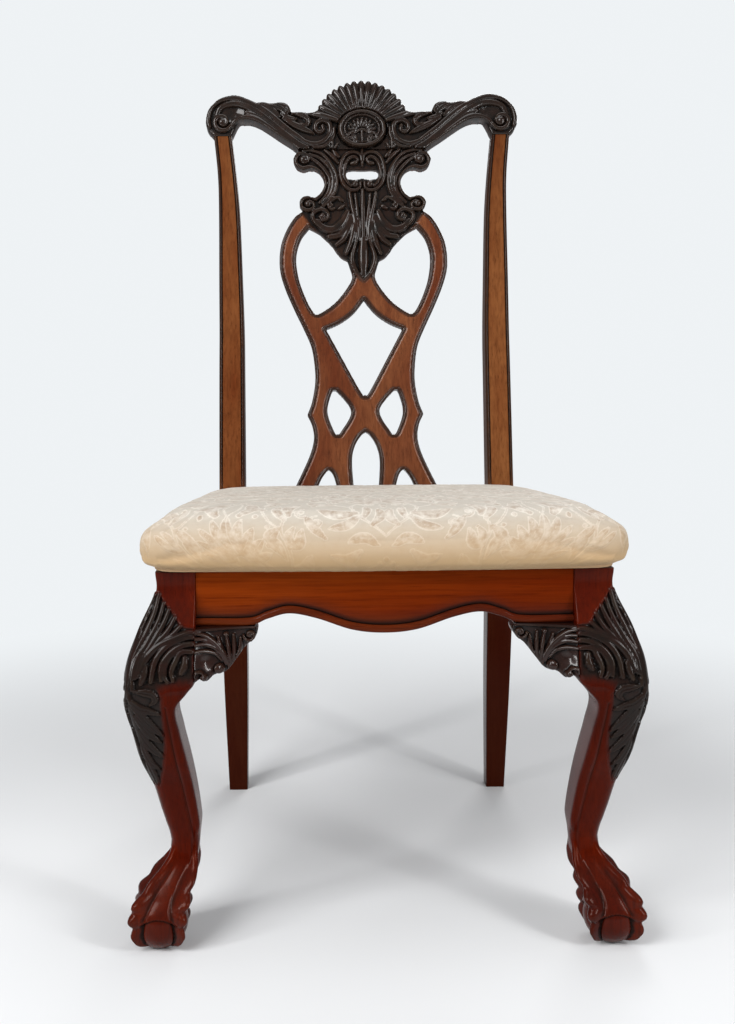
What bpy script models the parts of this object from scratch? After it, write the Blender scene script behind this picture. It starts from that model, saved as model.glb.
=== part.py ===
"""Carved dining chair with cabriole front legs, a pierced splat and an upholstered seat.

Metres, +Z up. The chair faces -Y and stands on z = 0, with the origin under its middle.
Left is the side at -X, which is on the left of someone who looks at the front of the chair.
"""

import math

import bmesh
import bpy
from mathutils import Matrix, Vector

# Seat frame
RAIL_TOP = 0.430
RAIL_HEIGHT = 0.061
RAIL_THICKNESS = 0.024
RAIL_RECESS = 0.003
FRONT_WIDTH = 0.512
REAR_WIDTH = 0.438
SEAT_DEPTH = 0.475
FIT = 0.0003

# Front rail: the flat under each end, the two arches and the drop in the middle
RAIL_FLAT = 0.058
RAIL_ARCH = 0.013
RAIL_DROP = 0.010
BEAD_RADIUS = 0.0045

# Cabriole front legs
STUMP = 0.045
KNEE_REACH = 0.0348
KNEE_Z = 0.300
FAN_TOP_Z = 0.406
HOLLOW_SHIFT = 0.0005
ANKLE_Z = 0.115
ANKLE_WIDTH = 0.0322
ANKLE_SHIFT = -0.0032
FOOT_SHIFT = 0.0255
BALL_RADIUS = 0.031
BALL_SINK = 0.002
TOE_REACH = 0.047
TOE_SPREAD = math.radians(14)
LEG_SIDES = 32

# Knee brackets, measured from the leg's inner face
BRACKET_LENGTH = 0.068
BRACKET_DROP = 0.057
BRACKET_BACK = 0.030

# Back posts
POST_WIDTH = 0.0380
POST_DEPTH = 0.040
POST_FOOT_WIDTH = 0.028
POST_FOOT_DEPTH = 0.030
POST_FOOT_SPLAY = 0.033
POST_TOP_WIDTH = 0.0270
POST_TOP_DEPTH = 0.027
POST_TOP_X = 0.2125
POST_EDGE = 0.003
POST_STRAIGHT = 0.012

# Back: heights run up the raked plane from the top of the shoe
BACK_RAKE = math.radians(10.5)
SPLAT_SETBACK = 0.004
SHOE_HEIGHT = 0.025
SHOE_WIDTH = 0.236
SHOE_DEPTH = 0.024
SPLAT_HEIGHT = 0.538
SPLAT_WIDTH = 0.254
SPLAT_THICKNESS = 0.016
SPLAT_EDGE = 0.002
CREST_WIDTH = 0.476
CREST_HEIGHT = 0.108
CREST_THICKNESS = 0.030
CREST_PROUD = 0.004
CREST_EDGE = 0.003
EAR_STEP = 0.022
SHELL_RIBS = 17
SHELL_RADIUS = 0.0745
SHELL_SPREAD = math.radians(152)
SHELL_RISE = 0.008
MEDALLION_WIDTH = 0.076
MEDALLION_HEIGHT = 0.061
MEDALLION_LIFT = 0.005
TENON_THICKNESS = 0.008
TENON_LENGTH = 0.012
CREST_TENON_WIDTH = 0.120
SHOE_TENON_WIDTH = 0.150
CREST_BEAD = 0.0038
SPLAT_BEAD = 0.0030
LEAF_SWELL = 0.0055
SPLAT_EYE = 0.0023
UPPER_SCROLL = 0.0080
LOWER_SCROLL = 0.0055
CREST_EYE = 0.0033
CREST_SCROLL = 0.0140
SPLAT_TURNS = 0.75
CREST_TURNS = 0.917
TIP = 0.6

# Fastenings
DOWEL_RADIUS = 0.0045
DOWEL_LENGTH = 0.034
DOWEL_EDGE = 0.016
SCREW_RADIUS = 0.0020
SCREW_HEAD = 0.0042
SCREW_BITE = 0.016
SCREW_SIDES = 8
BLOCK_HEIGHT = 0.040
BLOCK_NEAR = 0.050
BLOCK_FAR = 0.088
BLOCK_EAR = 0.012

# Upholstered seat
PAD_OVERHANG = 0.024
PAD_REAR_GAP = 0.001
PAD_HEIGHT = 0.074
PAD_REAR_HEIGHT = 0.052
PAD_FALL = 1.5
PAD_SHOULDER = 0.034
PAD_TUCK = 0.013
PAD_FRONT_BOW = 0.006
PAD_FRONT_CORNER = 0.042
PAD_REAR_CORNER = 0.014
COVER_THICKNESS = 0.0015
COVER_HEM = 0.018
BOARD_THICKNESS = 0.012
DUST_THICKNESS = 0.0008

# Levels and lines that follow from the sizes above
RAIL_BOTTOM = RAIL_TOP - RAIL_HEIGHT
BRACKET_BOTTOM = RAIL_BOTTOM - BRACKET_DROP
SHOE_TOP = RAIL_TOP + FIT + SHOE_HEIGHT
CREST_TOP = SPLAT_HEIGHT + CREST_HEIGHT
BACK_REACH = (
    SPLAT_SETBACK
    + CREST_TOP * math.sin(BACK_RAKE)
    + (CREST_THICKNESS - CREST_PROUD) * math.cos(BACK_RAKE)
    - POST_DEPTH
)
STUMP_FRONT = (KNEE_REACH - SEAT_DEPTH - BACK_REACH) / 2
STUMP_BACK = STUMP_FRONT + STUMP
STUMP_X = FRONT_WIDTH / 2 - STUMP / 2
STUMP_Y = STUMP_FRONT + STUMP / 2
POST_X = REAR_WIDTH / 2 - POST_WIDTH / 2
POST_BACK = STUMP_FRONT + SEAT_DEPTH
POST_FRONT = POST_BACK - POST_DEPTH
FRONT_RAIL_FACE = STUMP_FRONT + RAIL_RECESS
BACK_RAIL_FACE = POST_FRONT + RAIL_RECESS
SPLAT_Y = POST_FRONT + SPLAT_SETBACK
PAD_BOTTOM = RAIL_TOP + FIT
BOARD_BOTTOM = PAD_BOTTOM + COVER_THICKNESS + FIT
BOARD_TOP = BOARD_BOTTOM + BOARD_THICKNESS
SIDES = ((-1, "left"), (1, "right"))

# The back's own frame: x across, y up the raked plane, z forwards out of it
BACK_FRAME = Matrix.Translation((0, SPLAT_Y, SHOE_TOP)) @ Matrix.Rotation(math.pi / 2 - BACK_RAKE, 4, "X")


# General helpers


def new_material(name, colour, roughness, metallic=0.0):
    """A Principled BSDF with one colour."""
    made = bpy.data.materials.new(name)
    made.use_nodes = True
    shader = made.node_tree.nodes["Principled BSDF"]
    shader.inputs["Base Color"].default_value = (*colour, 1.0)
    shader.inputs["Roughness"].default_value = roughness
    shader.inputs["Metallic"].default_value = metallic
    return made


def add_object(name, mesh, material=None, placed=None):
    """Links a mesh as a child of the chair's empty, placed by its own matrix."""
    made = bpy.data.objects.new(name, mesh)
    bpy.context.scene.collection.objects.link(made)
    made.parent = bpy.data.objects["chair"]
    if placed is not None:
        made.matrix_world = placed
    if material:
        mesh.materials.append(bpy.data.materials[material])
    return made


def mesh_of(name, points, faces, smooth=40):
    """A closed mesh with its faces turned outwards and its round stretches shaded smooth."""
    mesh = bpy.data.meshes.new(name)
    mesh.from_pydata([tuple(p) for p in points], [], faces)
    shape = bmesh.new()
    shape.from_mesh(mesh)
    bmesh.ops.remove_doubles(shape, verts=shape.verts, dist=1e-6)
    bmesh.ops.recalc_face_normals(shape, faces=shape.faces)
    shape.to_mesh(mesh)
    shape.free()
    mesh.shade_smooth()
    mesh.set_sharp_from_angle(angle=math.radians(smooth))
    return mesh


def loft_mesh(name, rings, smooth=40):
    """Skins rings of equal point counts and caps both ends. A ring of one point is a tip."""
    points, faces, starts = [], [], []
    for ring in rings:
        starts.append(len(points))
        points.extend(ring)
    for (low, a), (high, b) in zip(zip(starts, rings), zip(starts[1:], rings[1:])):
        count = max(len(a), len(b))
        for i in range(count):
            j = (i + 1) % count
            corners = [low + i % len(a), low + j % len(a), high + j % len(b), high + i % len(b)]
            faces.append(list(dict.fromkeys(corners)))
    for start, ring in ((starts[0], rings[0]), (starts[-1], rings[-1])):
        if len(ring) > 2:
            faces.append(list(range(start, start + len(ring))))
    return mesh_of(name, points, faces, smooth)


def prism_mesh(name, outline, low, high):
    """A plan outline raised from one level to another."""
    return loft_mesh(name, [[(x, y, z) for x, y in outline] for z in (low, high)], 30)


def box_mesh(name, low, high):
    """A box between two corners."""
    corners = [(low[0], low[1]), (high[0], low[1]), (high[0], high[1]), (low[0], high[1])]
    return prism_mesh(name, corners, low[2], high[2])


def turned_mesh(name, profile, sides):
    """A profile of (radius, height) turned about +Z. A radius of 0 is a tip."""
    rings = []
    for radius, height in profile:
        if radius == 0:
            rings.append([(0, 0, height)])
            continue
        turns = [math.tau * i / sides for i in range(sides)]
        rings.append([(radius * math.cos(t), radius * math.sin(t), height) for t in turns])
    return loft_mesh(name, rings, 50)


def helper(name, mesh, placed=None):
    """A cutter or a relief that only shapes another piece."""
    made = add_object(name, mesh, placed=placed)
    made.hide_render = True
    made.display_type = "WIRE"
    return made


def combine(piece, other, operation):
    """Cuts or joins a helper with a piece."""
    modifier = piece.modifiers.new(other.name, "BOOLEAN")
    modifier.operation = operation
    modifier.solver = "EXACT"
    modifier.object = other


def along(start, direction):
    """The matrix that puts +Z of a turned piece along a direction from a start point."""
    turn = Vector(direction).normalized().to_track_quat("Z", "Y").to_matrix().to_4x4()
    return Matrix.Translation(start) @ turn


def catmull(points, steps, closed=False):
    """A smooth curve through points of any dimension, with this many steps from each to the next."""
    points = [Vector(p) for p in points]
    count = len(points)
    made = []
    for i in range(count if closed else count - 1):
        if closed:
            a, b, c, d = (points[(i + k) % count] for k in (-1, 0, 1, 2))
        else:
            a, b, c, d = (points[min(max(i + k, 0), count - 1)] for k in (-1, 0, 1, 2))
        for step in range(steps):
            t = step / steps
            made.append(
                b + (c - a) * (t / 2) + (a * 2 - b * 5 + c * 4 - d) * (t * t / 2)
                + (b * 3 - a - c * 3 + d) * (t**3 / 2)
            )
    if not closed:
        made.append(points[-1])
    return made


def mirrored(half):
    """The other half of an outline drawn at -X, added in reverse order at +X."""
    return list(half) + [(-x, *rest) for x, *rest in reversed(half)]


def tube_mesh(name, path, radii, sides, tip=0.0):
    """A tube of changing radius along a path in the back's plane.

    A tip, given as a share of the radius, brings each end to a point.
    """
    rings = []
    for i, point in enumerate(path):
        ahead = (path[min(i + 1, len(path) - 1)] - path[max(i - 1, 0)]).normalized()
        across = Vector((-ahead.y, ahead.x, 0)).normalized()
        out = ahead.cross(across)
        turns = [math.tau * (k + 0.25) / sides for k in range(sides)]
        rings.append([point + (across * math.cos(t) + out * math.sin(t)) * radii[i] for t in turns])
    if tip:
        start = path[0] - (path[1] - path[0]).normalized() * (radii[0] * tip)
        end = path[-1] + (path[-1] - path[-2]).normalized() * (radii[-1] * tip)
        rings = [[start]] + rings + [[end]]
    return loft_mesh(name, rings, 60)


def spiral(centre, start_angle, turns, inner, outer, count):
    """Points of a scroll that opens from its eye, in the back's plane."""
    made = []
    for i in range(count):
        share = i / (count - 1)
        angle = start_angle + turns * math.tau * share
        radius = inner + (outer - inner) * share
        made.append(Vector((centre[0] + radius * math.cos(angle), centre[1] + radius * math.sin(angle), 0)))
    return made


# Dowels, screws and the holes that hold them


def drill(piece, holes):
    """Cuts round holes: each is (start, direction, profile), with the profile turned about the direction."""
    shape = bmesh.new()
    for start, direction, profile in holes:
        hole = turned_mesh("hole", profile, SCREW_SIDES)
        hole.transform(along(start, direction))
        shape.from_mesh(hole)
        bpy.data.meshes.remove(hole)
    mesh = bpy.data.meshes.new(f"holes_{piece.name}")
    shape.to_mesh(mesh)
    shape.free()
    combine(piece, helper(mesh.name, mesh), "DIFFERENCE")


def add_dowel(name, joint, direction, first, second):
    """A glued pin across a joint, with a blind hole in each of the two pieces."""
    direction = Vector(direction).normalized()
    reach = direction * (DOWEL_LENGTH / 2)
    profile = [(DOWEL_RADIUS, 0), (DOWEL_RADIUS, DOWEL_LENGTH)]
    add_object(name, turned_mesh(name, profile, SCREW_SIDES), "dowel_beech", along(joint - reach, direction))
    room = DOWEL_RADIUS + FIT
    hole = (joint - reach, direction, [(room, -FIT), (room, DOWEL_LENGTH + FIT)])
    HOLES.setdefault(first.name, []).append(hole)
    HOLES.setdefault(second.name, []).append(hole)


def add_screw(name, head, direction, length, pieces):
    """A countersunk screw with its head's face at a point, and a clearance hole in what it passes through."""
    cone = SCREW_HEAD - SCREW_RADIUS
    profile = [
        (SCREW_HEAD, 0),
        (SCREW_RADIUS, cone),
        (SCREW_RADIUS, length - 2 * SCREW_RADIUS),
        (SCREW_RADIUS * 0.3, length),
    ]
    add_object(name, turned_mesh(name, profile, SCREW_SIDES), "screw_steel", along(head, direction))
    shank, recess, end = SCREW_RADIUS + FIT, SCREW_HEAD + FIT, length + FIT
    stepped = [(recess, -BLOCK_HEIGHT), (recess, cone), (shank, cone), (shank, end)]
    for piece in pieces:
        profile = stepped if piece is pieces[0] else [(shank, 0), (shank, end)]
        HOLES.setdefault(piece.name, []).append((head, direction, profile))


HOLES = {}


# Cabriole front legs


def rounded_square(angle, half, power):
    """Radius of a square with rounded corners at an angle. A high power is sharp."""
    return half / (abs(math.cos(angle)) ** power + abs(math.sin(angle)) ** power) ** (1 / power)


CALF = [
    (0.10, 0.95, 0.08),
    (0.26, 0.77, 0.04),
    (0.44, 0.56, 0.26),
    (0.60, 0.30, 0.50),
    (0.77, 0.13, 0.75),
    (0.90, 0.02, 0.92),
]


def leg_stations():
    """(height, outer face, inner face, sharpness) down the leg, as distances from the stump's middle.

    CALF gives the way down from knee to ankle, and how far the outer and the inner face have come by then.
    """
    half = STUMP / 2
    knee = half + KNEE_REACH
    ankle_out, ankle_in = ANKLE_SHIFT + ANKLE_WIDTH / 2, ANKLE_SHIFT - ANKLE_WIDTH / 2
    stations = [
        (RAIL_TOP, half, -half, 14),
        (FAN_TOP_Z, half, -half, 14),
        (RAIL_BOTTOM, half + KNEE_REACH * 0.47, -half, 7),
        (BRACKET_BOTTOM + BRACKET_DROP * 0.4, knee - KNEE_REACH * 0.16, -half, 5),
        (BRACKET_BOTTOM, knee - KNEE_REACH * 0.02, -half, 4.4),
        (KNEE_Z, knee, -half * 0.62, 4),
    ]
    for way, outer, inner in CALF:
        height = KNEE_Z + (ANKLE_Z - KNEE_Z) * way
        outside = ankle_out + (knee - ankle_out) * outer
        inside = HOLLOW_SHIFT + (ankle_in - HOLLOW_SHIFT) * inner
        stations.append((height, outside, inside, 3.4))
    stations.append((ANKLE_Z, ankle_out, ankle_in, 3))
    return stations


def foot_stations():
    """(height, shift, web, toe) below the ankle: the shift of the middle, and the reach of web and toes."""
    ball = BALL_RADIUS
    ankle = ANKLE_WIDTH / 2
    run = FOOT_SHIFT - ANKLE_SHIFT
    return [
        (ANKLE_Z * 0.87, ANKLE_SHIFT + run * 0.06, ankle * 1.04, ankle * 1.32),
        (ANKLE_Z * 0.77, ANKLE_SHIFT + run * 0.20, ankle * 1.06, ankle * 1.75),
        (ANKLE_Z * 0.67, ANKLE_SHIFT + run * 0.46, ankle * 1.10, TOE_REACH * 0.80),
        (ANKLE_Z * 0.57, ANKLE_SHIFT + run * 0.72, ball * 0.66, TOE_REACH * 0.90),
        (ANKLE_Z * 0.48, ANKLE_SHIFT + run * 0.90, ball * 0.78, TOE_REACH * 0.98),
        (ANKLE_Z * 0.38, FOOT_SHIFT, 0, TOE_REACH),
        (ANKLE_Z * 0.27, FOOT_SHIFT, 0, TOE_REACH * 0.98),
        (ANKLE_Z * 0.15, FOOT_SHIFT, 0, TOE_REACH * 0.95),
        (ANKLE_Z * 0.06, FOOT_SHIFT, 0, TOE_REACH * 0.74),
        (0.0, FOOT_SHIFT, 0, 0),
    ]


def foot_radius(angle, height, web, toe):
    """Ball or web between the toes, with a ridge at each corner that is a toe."""
    lift = height + BALL_SINK - BALL_RADIUS
    ball = math.sqrt(max(BALL_RADIUS**2 - lift**2, 0))
    body = max(rounded_square(angle, web, 2.6), ball) if web else ball
    off = (angle + math.pi / 4) % (math.pi / 2) - math.pi / 4
    corner = math.pi / 4 - abs(off)
    return body + max(toe - body, 0) * math.exp(-((corner / TOE_SPREAD) ** 2))


def front_leg(side, word):
    """One leg: square stump, swelling knee, slim ankle and a clawed ball foot, set on the diagonal."""
    angles = [math.tau * i / LEG_SIDES for i in range(LEG_SIDES)]
    levels = []
    for height, outer, inner, power in catmull(leg_stations(), 2):
        inner = max(inner, -STUMP / 2)
        half = (outer - inner) / 2
        levels.append((height, (outer + inner) / 2, [rounded_square(a, half, power) for a in angles]))
    for height, shift, web, toe in foot_stations():
        levels.append((height, shift, [foot_radius(a, height, web, toe) for a in angles]))
    rings = []
    for height, shift, radii in levels:
        ring = [(shift + r * math.cos(a), -shift + r * math.sin(a), height) for r, a in zip(radii, angles)]
        rings.append([(side * x, y, z) for x, y, z in ring])
    name = f"front_leg_{word}"
    place = Matrix.Translation((side * STUMP_X, STUMP_Y, 0))
    return add_object(name, loft_mesh(name, rings, 50), "mahogany", place)


def bracket_outline():
    """(distance from the leg, height below the rail) round a knee bracket, clockwise from the leg's top."""
    length, drop = BRACKET_LENGTH, BRACKET_DROP
    scroll = catmull(
        [
            (length * 0.97, -drop * 0.02),
            (length, -drop * 0.12),
            (length * 0.94, -drop * 0.26),
            (length * 0.80, -drop * 0.40),
            (length * 0.64, -drop * 0.64),
            (length * 0.48, -drop * 0.86),
            (length * 0.30, -drop * 0.90),
            (length * 0.18, -drop),
            (length * 0.08, -drop * 0.94),
            (0, -drop),
        ],
        2,
    )
    return [(0, 0), (length * 0.6, 0)] + [tuple(p) for p in scroll]


def knee_bracket(name, face, run, out):
    """A bracket under a rail.

    Face is its top corner at the leg, run goes along the rail, and out points away from the chair.
    """
    run, out = Vector(run).normalized(), Vector(out).normalized()
    front, back = [], []
    for t, drop in bracket_outline():
        share = max(0.0, 1 - t / BRACKET_LENGTH)
        depth = -drop / BRACKET_DROP
        swell = KNEE_REACH * 0.55 * share**1.6 * (0.35 + 0.65 * depth)
        point = Vector(face) + run * t + Vector((0, 0, drop))
        front.append(point + out * swell)
        back.append(point - out * BRACKET_BACK)
    return add_object(name, loft_mesh(name, [front, back], 50), "carved_mahogany")


# Seat rails, corner blocks and their fastenings


def front_rail_edge():
    """Points along the serpentine lower edge of the front rail, from the left end to the right."""
    end = STUMP_X - STUMP / 2 - FIT
    flat = end - RAIL_FLAT
    half = [
        (-end, RAIL_BOTTOM),
        (-flat, RAIL_BOTTOM),
        (-flat * 0.86, RAIL_BOTTOM + RAIL_ARCH * 0.55),
        (-flat * 0.70, RAIL_BOTTOM + RAIL_ARCH),
        (-flat * 0.50, RAIL_BOTTOM + RAIL_ARCH * 0.55),
        (-flat * 0.24, RAIL_BOTTOM - RAIL_DROP * 0.62),
    ]
    whole = half + [(0, RAIL_BOTTOM - RAIL_DROP)] + [(-x, z) for x, z in reversed(half)]
    curve = catmull(whole[1:-1], 3)
    return [Vector(whole[0])] + curve + [Vector(whole[-1])]


def front_rail():
    """The front rail with its scalloped lower edge and the bead that follows it."""
    end = STUMP_X - STUMP / 2 - FIT
    edge = front_rail_edge()
    outline = [(-end, RAIL_TOP)] + [tuple(p) for p in edge] + [(end, RAIL_TOP)]
    back = FRONT_RAIL_FACE + RAIL_THICKNESS
    rings = [[(x, y, z) for x, z in outline] for y in (FRONT_RAIL_FACE, back)]
    rail = add_object("front_rail", loft_mesh("front_rail", rings, 30), "mahogany")
    path = [Vector((p.x, p.y + BEAD_RADIUS, 0)) for p in edge]
    bead = tube_mesh("front_rail_bead", path, [BEAD_RADIUS] * len(path), 8)
    upright = Matrix.Translation((0, FRONT_RAIL_FACE, 0)) @ Matrix.Rotation(math.pi / 2, 4, "X")
    combine(rail, helper("front_rail_bead", bead, upright), "UNION")
    return rail


def side_rail_face(y):
    """Half width over the side rails' outer faces at a depth."""
    share = (y - STUMP_BACK) / (POST_FRONT - STUMP_BACK)
    return (FRONT_WIDTH + (REAR_WIDTH - FRONT_WIDTH) * share) / 2 - RAIL_RECESS


def side_rail(side, word):
    """A side rail, cut square to the front so that its ends lie flat on the leg and the post."""
    ends = (STUMP_BACK + FIT, POST_FRONT - FIT)
    plan = [(side_rail_face(y), y) for y in ends]
    plan += [(side_rail_face(y) - RAIL_THICKNESS, y) for y in reversed(ends)]
    plan = [(side * x, y) for x, y in plan]
    name = f"side_rail_{word}"
    return add_object(name, prism_mesh(name, plan, RAIL_BOTTOM, RAIL_TOP), "mahogany")


def back_rail():
    """The rail between the posts, which carries the shoe."""
    end = POST_X - POST_WIDTH / 2 - FIT
    low = (-end, BACK_RAIL_FACE, RAIL_BOTTOM)
    high = (end, BACK_RAIL_FACE + RAIL_THICKNESS, RAIL_TOP)
    return add_object("back_rail", box_mesh("back_rail", low, high), "mahogany")


def corner_block(name, corner, first, second):
    """A brace across a corner of the frame: corner is where the rails' inner faces meet, seen from above.

    First and second run from the corner along the two faces, first along the front or back rail.
    """
    corner, first, second = Vector(corner), Vector(first).normalized(), Vector(second).normalized()
    corner = corner + (first + second) * (FIT * 1.1)
    near = [corner + d * BLOCK_NEAR for d in (first, second)]
    far = [corner + d * BLOCK_FAR for d in (first, second)]
    ears = [far[0] + second * BLOCK_EAR, far[1] + first * BLOCK_EAR]
    plan = [near[0], far[0], ears[0], ears[1], far[1], near[1]]
    top = RAIL_TOP - FIT
    mesh = prism_mesh(name, [tuple(p) for p in plan], top - BLOCK_HEIGHT, top)
    return add_object(name, mesh, "block_pine")


# Back posts


def post_section(place, width, depth):
    """A rectangle with chamfered edges, placed by a matrix whose x is width and y is depth."""
    w, d, e = width / 2, depth / 2, POST_EDGE
    right = [(w - e, -d), (w, e - d), (w, d - e), (w - e, d)]
    left = [(-x, y) for x, y in reversed(right)]
    return [place @ Vector((x, y, 0)) for x, y in right + left]


def back_post(side, word):
    """Rear leg and back post in one raked and splayed piece."""
    seat_y = (POST_FRONT + POST_BACK) / 2
    rings = []
    lower = [
        (0.0, POST_FOOT_SPLAY, POST_FOOT_WIDTH, POST_FOOT_DEPTH),
        (RAIL_BOTTOM * 0.43, POST_FOOT_SPLAY * 0.5, POST_WIDTH * 0.93, POST_DEPTH * 0.9),
        (RAIL_BOTTOM * 0.78, POST_FOOT_SPLAY * 0.12, POST_WIDTH, POST_DEPTH),
        (RAIL_BOTTOM - POST_STRAIGHT, 0.0, POST_WIDTH, POST_DEPTH),
        (RAIL_TOP + POST_STRAIGHT, 0.0, POST_WIDTH, POST_DEPTH),
    ]
    for height, splay, width, depth in lower:
        rings.append(post_section(Matrix.Translation((side * POST_X, seat_y + splay, height)), width, depth))
    top = SPLAT_HEIGHT + EAR_STEP - FIT
    upright = Matrix.Rotation(-math.pi / 2, 4, "X")
    upper = [
        (0.10, 0.0, 0.0, 0.1),
        (0.34, 0.0, 0.05, 0.4),
        (0.46, 0.0, 0.12, 0.55),
        (0.60, 0.10, 0.30, 0.7),
        (0.78, 0.25, 0.62, 0.85),
        (0.89, 0.50, 0.92, 0.95),
        (1.00, 1.0, 1.0, 1.0),
    ]
    for share, sweep, slim, thin in upper:
        x = POST_X + (POST_TOP_X - POST_X) * sweep
        width = POST_WIDTH + (POST_TOP_WIDTH - POST_WIDTH) * slim
        depth = POST_DEPTH + (POST_TOP_DEPTH - POST_DEPTH) * thin
        middle = SPLAT_SETBACK * (1 - share) - depth / 2
        level = Matrix.Translation((side * x, top * share, middle))
        rings.append(post_section(BACK_FRAME @ level @ upright, width, depth))
    name = f"back_post_{word}"
    return add_object(name, loft_mesh(name, rings, 35), "mahogany")


# Splat, shoe and crest rail


def plate(name, loops, thickness, edge, steps):
    """A board in the back's plane with rounded edges: the first loop is its outline, the rest its openings.

    A loop point is (x, y) on a smooth stretch or (x, y, True) at a sharp corner.
    """
    curve = bpy.data.curves.new(name, "CURVE")
    curve.dimensions = "2D"
    curve.fill_mode = "BOTH"
    curve.resolution_u = steps
    curve.extrude = thickness / 2 - edge
    curve.bevel_depth = edge
    curve.bevel_resolution = 0
    curve.offset = -edge
    for loop in loops:
        spline = curve.splines.new("BEZIER")
        spline.bezier_points.add(len(loop) - 1)
        spline.use_cyclic_u = True
        for knot, (x, y, *corner) in zip(spline.bezier_points, loop):
            knot.co = (x, y, 0)
            kind = "VECTOR" if corner else "AUTO"
            knot.handle_left_type = kind
            knot.handle_right_type = kind
    drawn = bpy.data.objects.new(name, curve)
    bpy.context.scene.collection.objects.link(drawn)
    bpy.context.view_layer.update()
    flat = drawn.to_mesh()
    points = [v.co - Vector((0, 0, thickness / 2)) for v in flat.vertices]
    faces = [list(p.vertices) for p in flat.polygons]
    drawn.to_mesh_clear()
    bpy.data.objects.remove(drawn)
    bpy.data.curves.remove(curve)
    return mesh_of(name, points, faces, 35)


SPLAT_DRAWN = (254, 538)


def on_splat(loop):
    """Scales a loop of the splat's drawing, in millimetres, to the splat's size."""
    across, up = SPLAT_WIDTH / SPLAT_DRAWN[0], SPLAT_HEIGHT / SPLAT_DRAWN[1]
    return [(x * across, y * up, *corner) for x, y, *corner in loop]


def splat_loops():
    """Outline of the splat and its openings, drawn on the left half and mirrored."""
    outline = [
        (-112, 0, True), (-112, 9, True), (-93, 48), (-82, 74), (-77.5, 95), (-80, 114), (-87, 130, True),
        (-80, 149), (-75, 178), (-75.5, 205), (-80, 234), (-91, 261), (-106, 293), (-120, 327), (-127, 356),
        (-125, 388), (-116, 413), (-104, 432), (-92, 443), (-96, 452), (-94, 462), (-85, 466), (-76, 463),
        (-67, 467), (-60, 476), (-58, 487), (-62, 499), (-71, 507), (-81, 508), (-90, 506), (-100, 511),
        (-105, 524), (-99, 535), (-88, 538, True),
    ]
    kite = [
        (0, 305), (-16, 285), (-36, 270), (-58, 260, True), (-34, 215), (-6, 163), (0, 159.5),
        (6, 163), (34, 215), (58, 260, True), (36, 270), (16, 285),
    ]
    arch = [(-9, 96), (-17, 81), (-21, 60), (-19, 22), (-17, 12, True)]
    grip = [(-8, 492), (-21, 493), (-25, 500), (-21, 507)]
    grip = [(0, 494)] + grip + [(0, 507.5)] + [(-x, y) for x, y in reversed(grip)]
    loops = [mirrored(outline), kite, [(0, 104)] + mirrored(arch), grip]
    teardrop = [
        (-82, 417, True), (-95, 399), (-102, 372), (-99, 341), (-91, 315), (-80, 291), (-72, 283), (-60, 288),
        (-44, 300), (-30, 316), (-20, 331, True), (-17, 342), (-21, 357), (-24, 366, True), (-33, 371),
        (-41, 380, True), (-46, 388), (-54, 397, True), (-66, 408),
    ]
    diamond = [(-46, 166), (-39, 162), (-21, 135), (-37, 104)]
    diamond += [(-42, 100.5), (-47, 104), (-57, 134), (-51, 162)]
    side_arch = [(-72, 23), (-65, 37), (-56, 46), (-49, 39), (-44, 22), (-42, 12, True), (-78, 12, True)]
    for half in (teardrop, diamond, side_arch):
        loops += [half, [(-x, *rest) for x, *rest in half]]
    return [on_splat(loop) for loop in loops]


def scroll_bead(name, path, radius, host, place):
    """A carved bead along a path, tapering into the eye of the scroll at each end."""
    count = len(path)
    taper = [0.55 + 0.45 * min(1.0, i / 6, (count - 1 - i) / 6) for i in range(count)]
    mesh = tube_mesh(name, path, [radius * t for t in taper], 5, TIP)
    combine(host, helper(name, mesh, place), "UNION")


def leaf_lobe(name, points, width, host):
    """A swelling lobe of the carved leaf along a curve of the splat's drawing."""
    path = catmull([(x, y, 0) for x, y in on_splat(points)], 2)
    last = len(path) - 1
    radii = [width * (0.25 + 0.75 * math.sin(math.pi * (0.12 + 0.76 * i / last))) for i in range(last + 1)]
    combine(host, helper(name, tube_mesh(name, path, radii, 5, TIP), BACK_FRAME), "UNION")


def add_tenon(host, width, low, high, thickness):
    """A tenon in the middle of a board's thickness, between two heights of the back's plane."""
    middle = -thickness / 2
    corner = (-width / 2, low, middle - TENON_THICKNESS / 2)
    other = (width / 2, high, middle + TENON_THICKNESS / 2)
    name = f"{host.name}_tenon_{'up' if high > SPLAT_HEIGHT / 2 else 'down'}"
    combine(host, helper(name, box_mesh(name, corner, other), BACK_FRAME), "UNION")


def cut_mortise(host, width, low, high, thickness):
    """The slot that takes a tenon, with clearance all round."""
    middle = -thickness / 2
    corner = (-width / 2 - FIT, low - FIT, middle - TENON_THICKNESS / 2 - FIT)
    other = (width / 2 + FIT, high + FIT, middle + TENON_THICKNESS / 2 + FIT)
    name = f"{host.name}_mortise"
    combine(host, helper(name, box_mesh(name, corner, other), BACK_FRAME), "DIFFERENCE")


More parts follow.
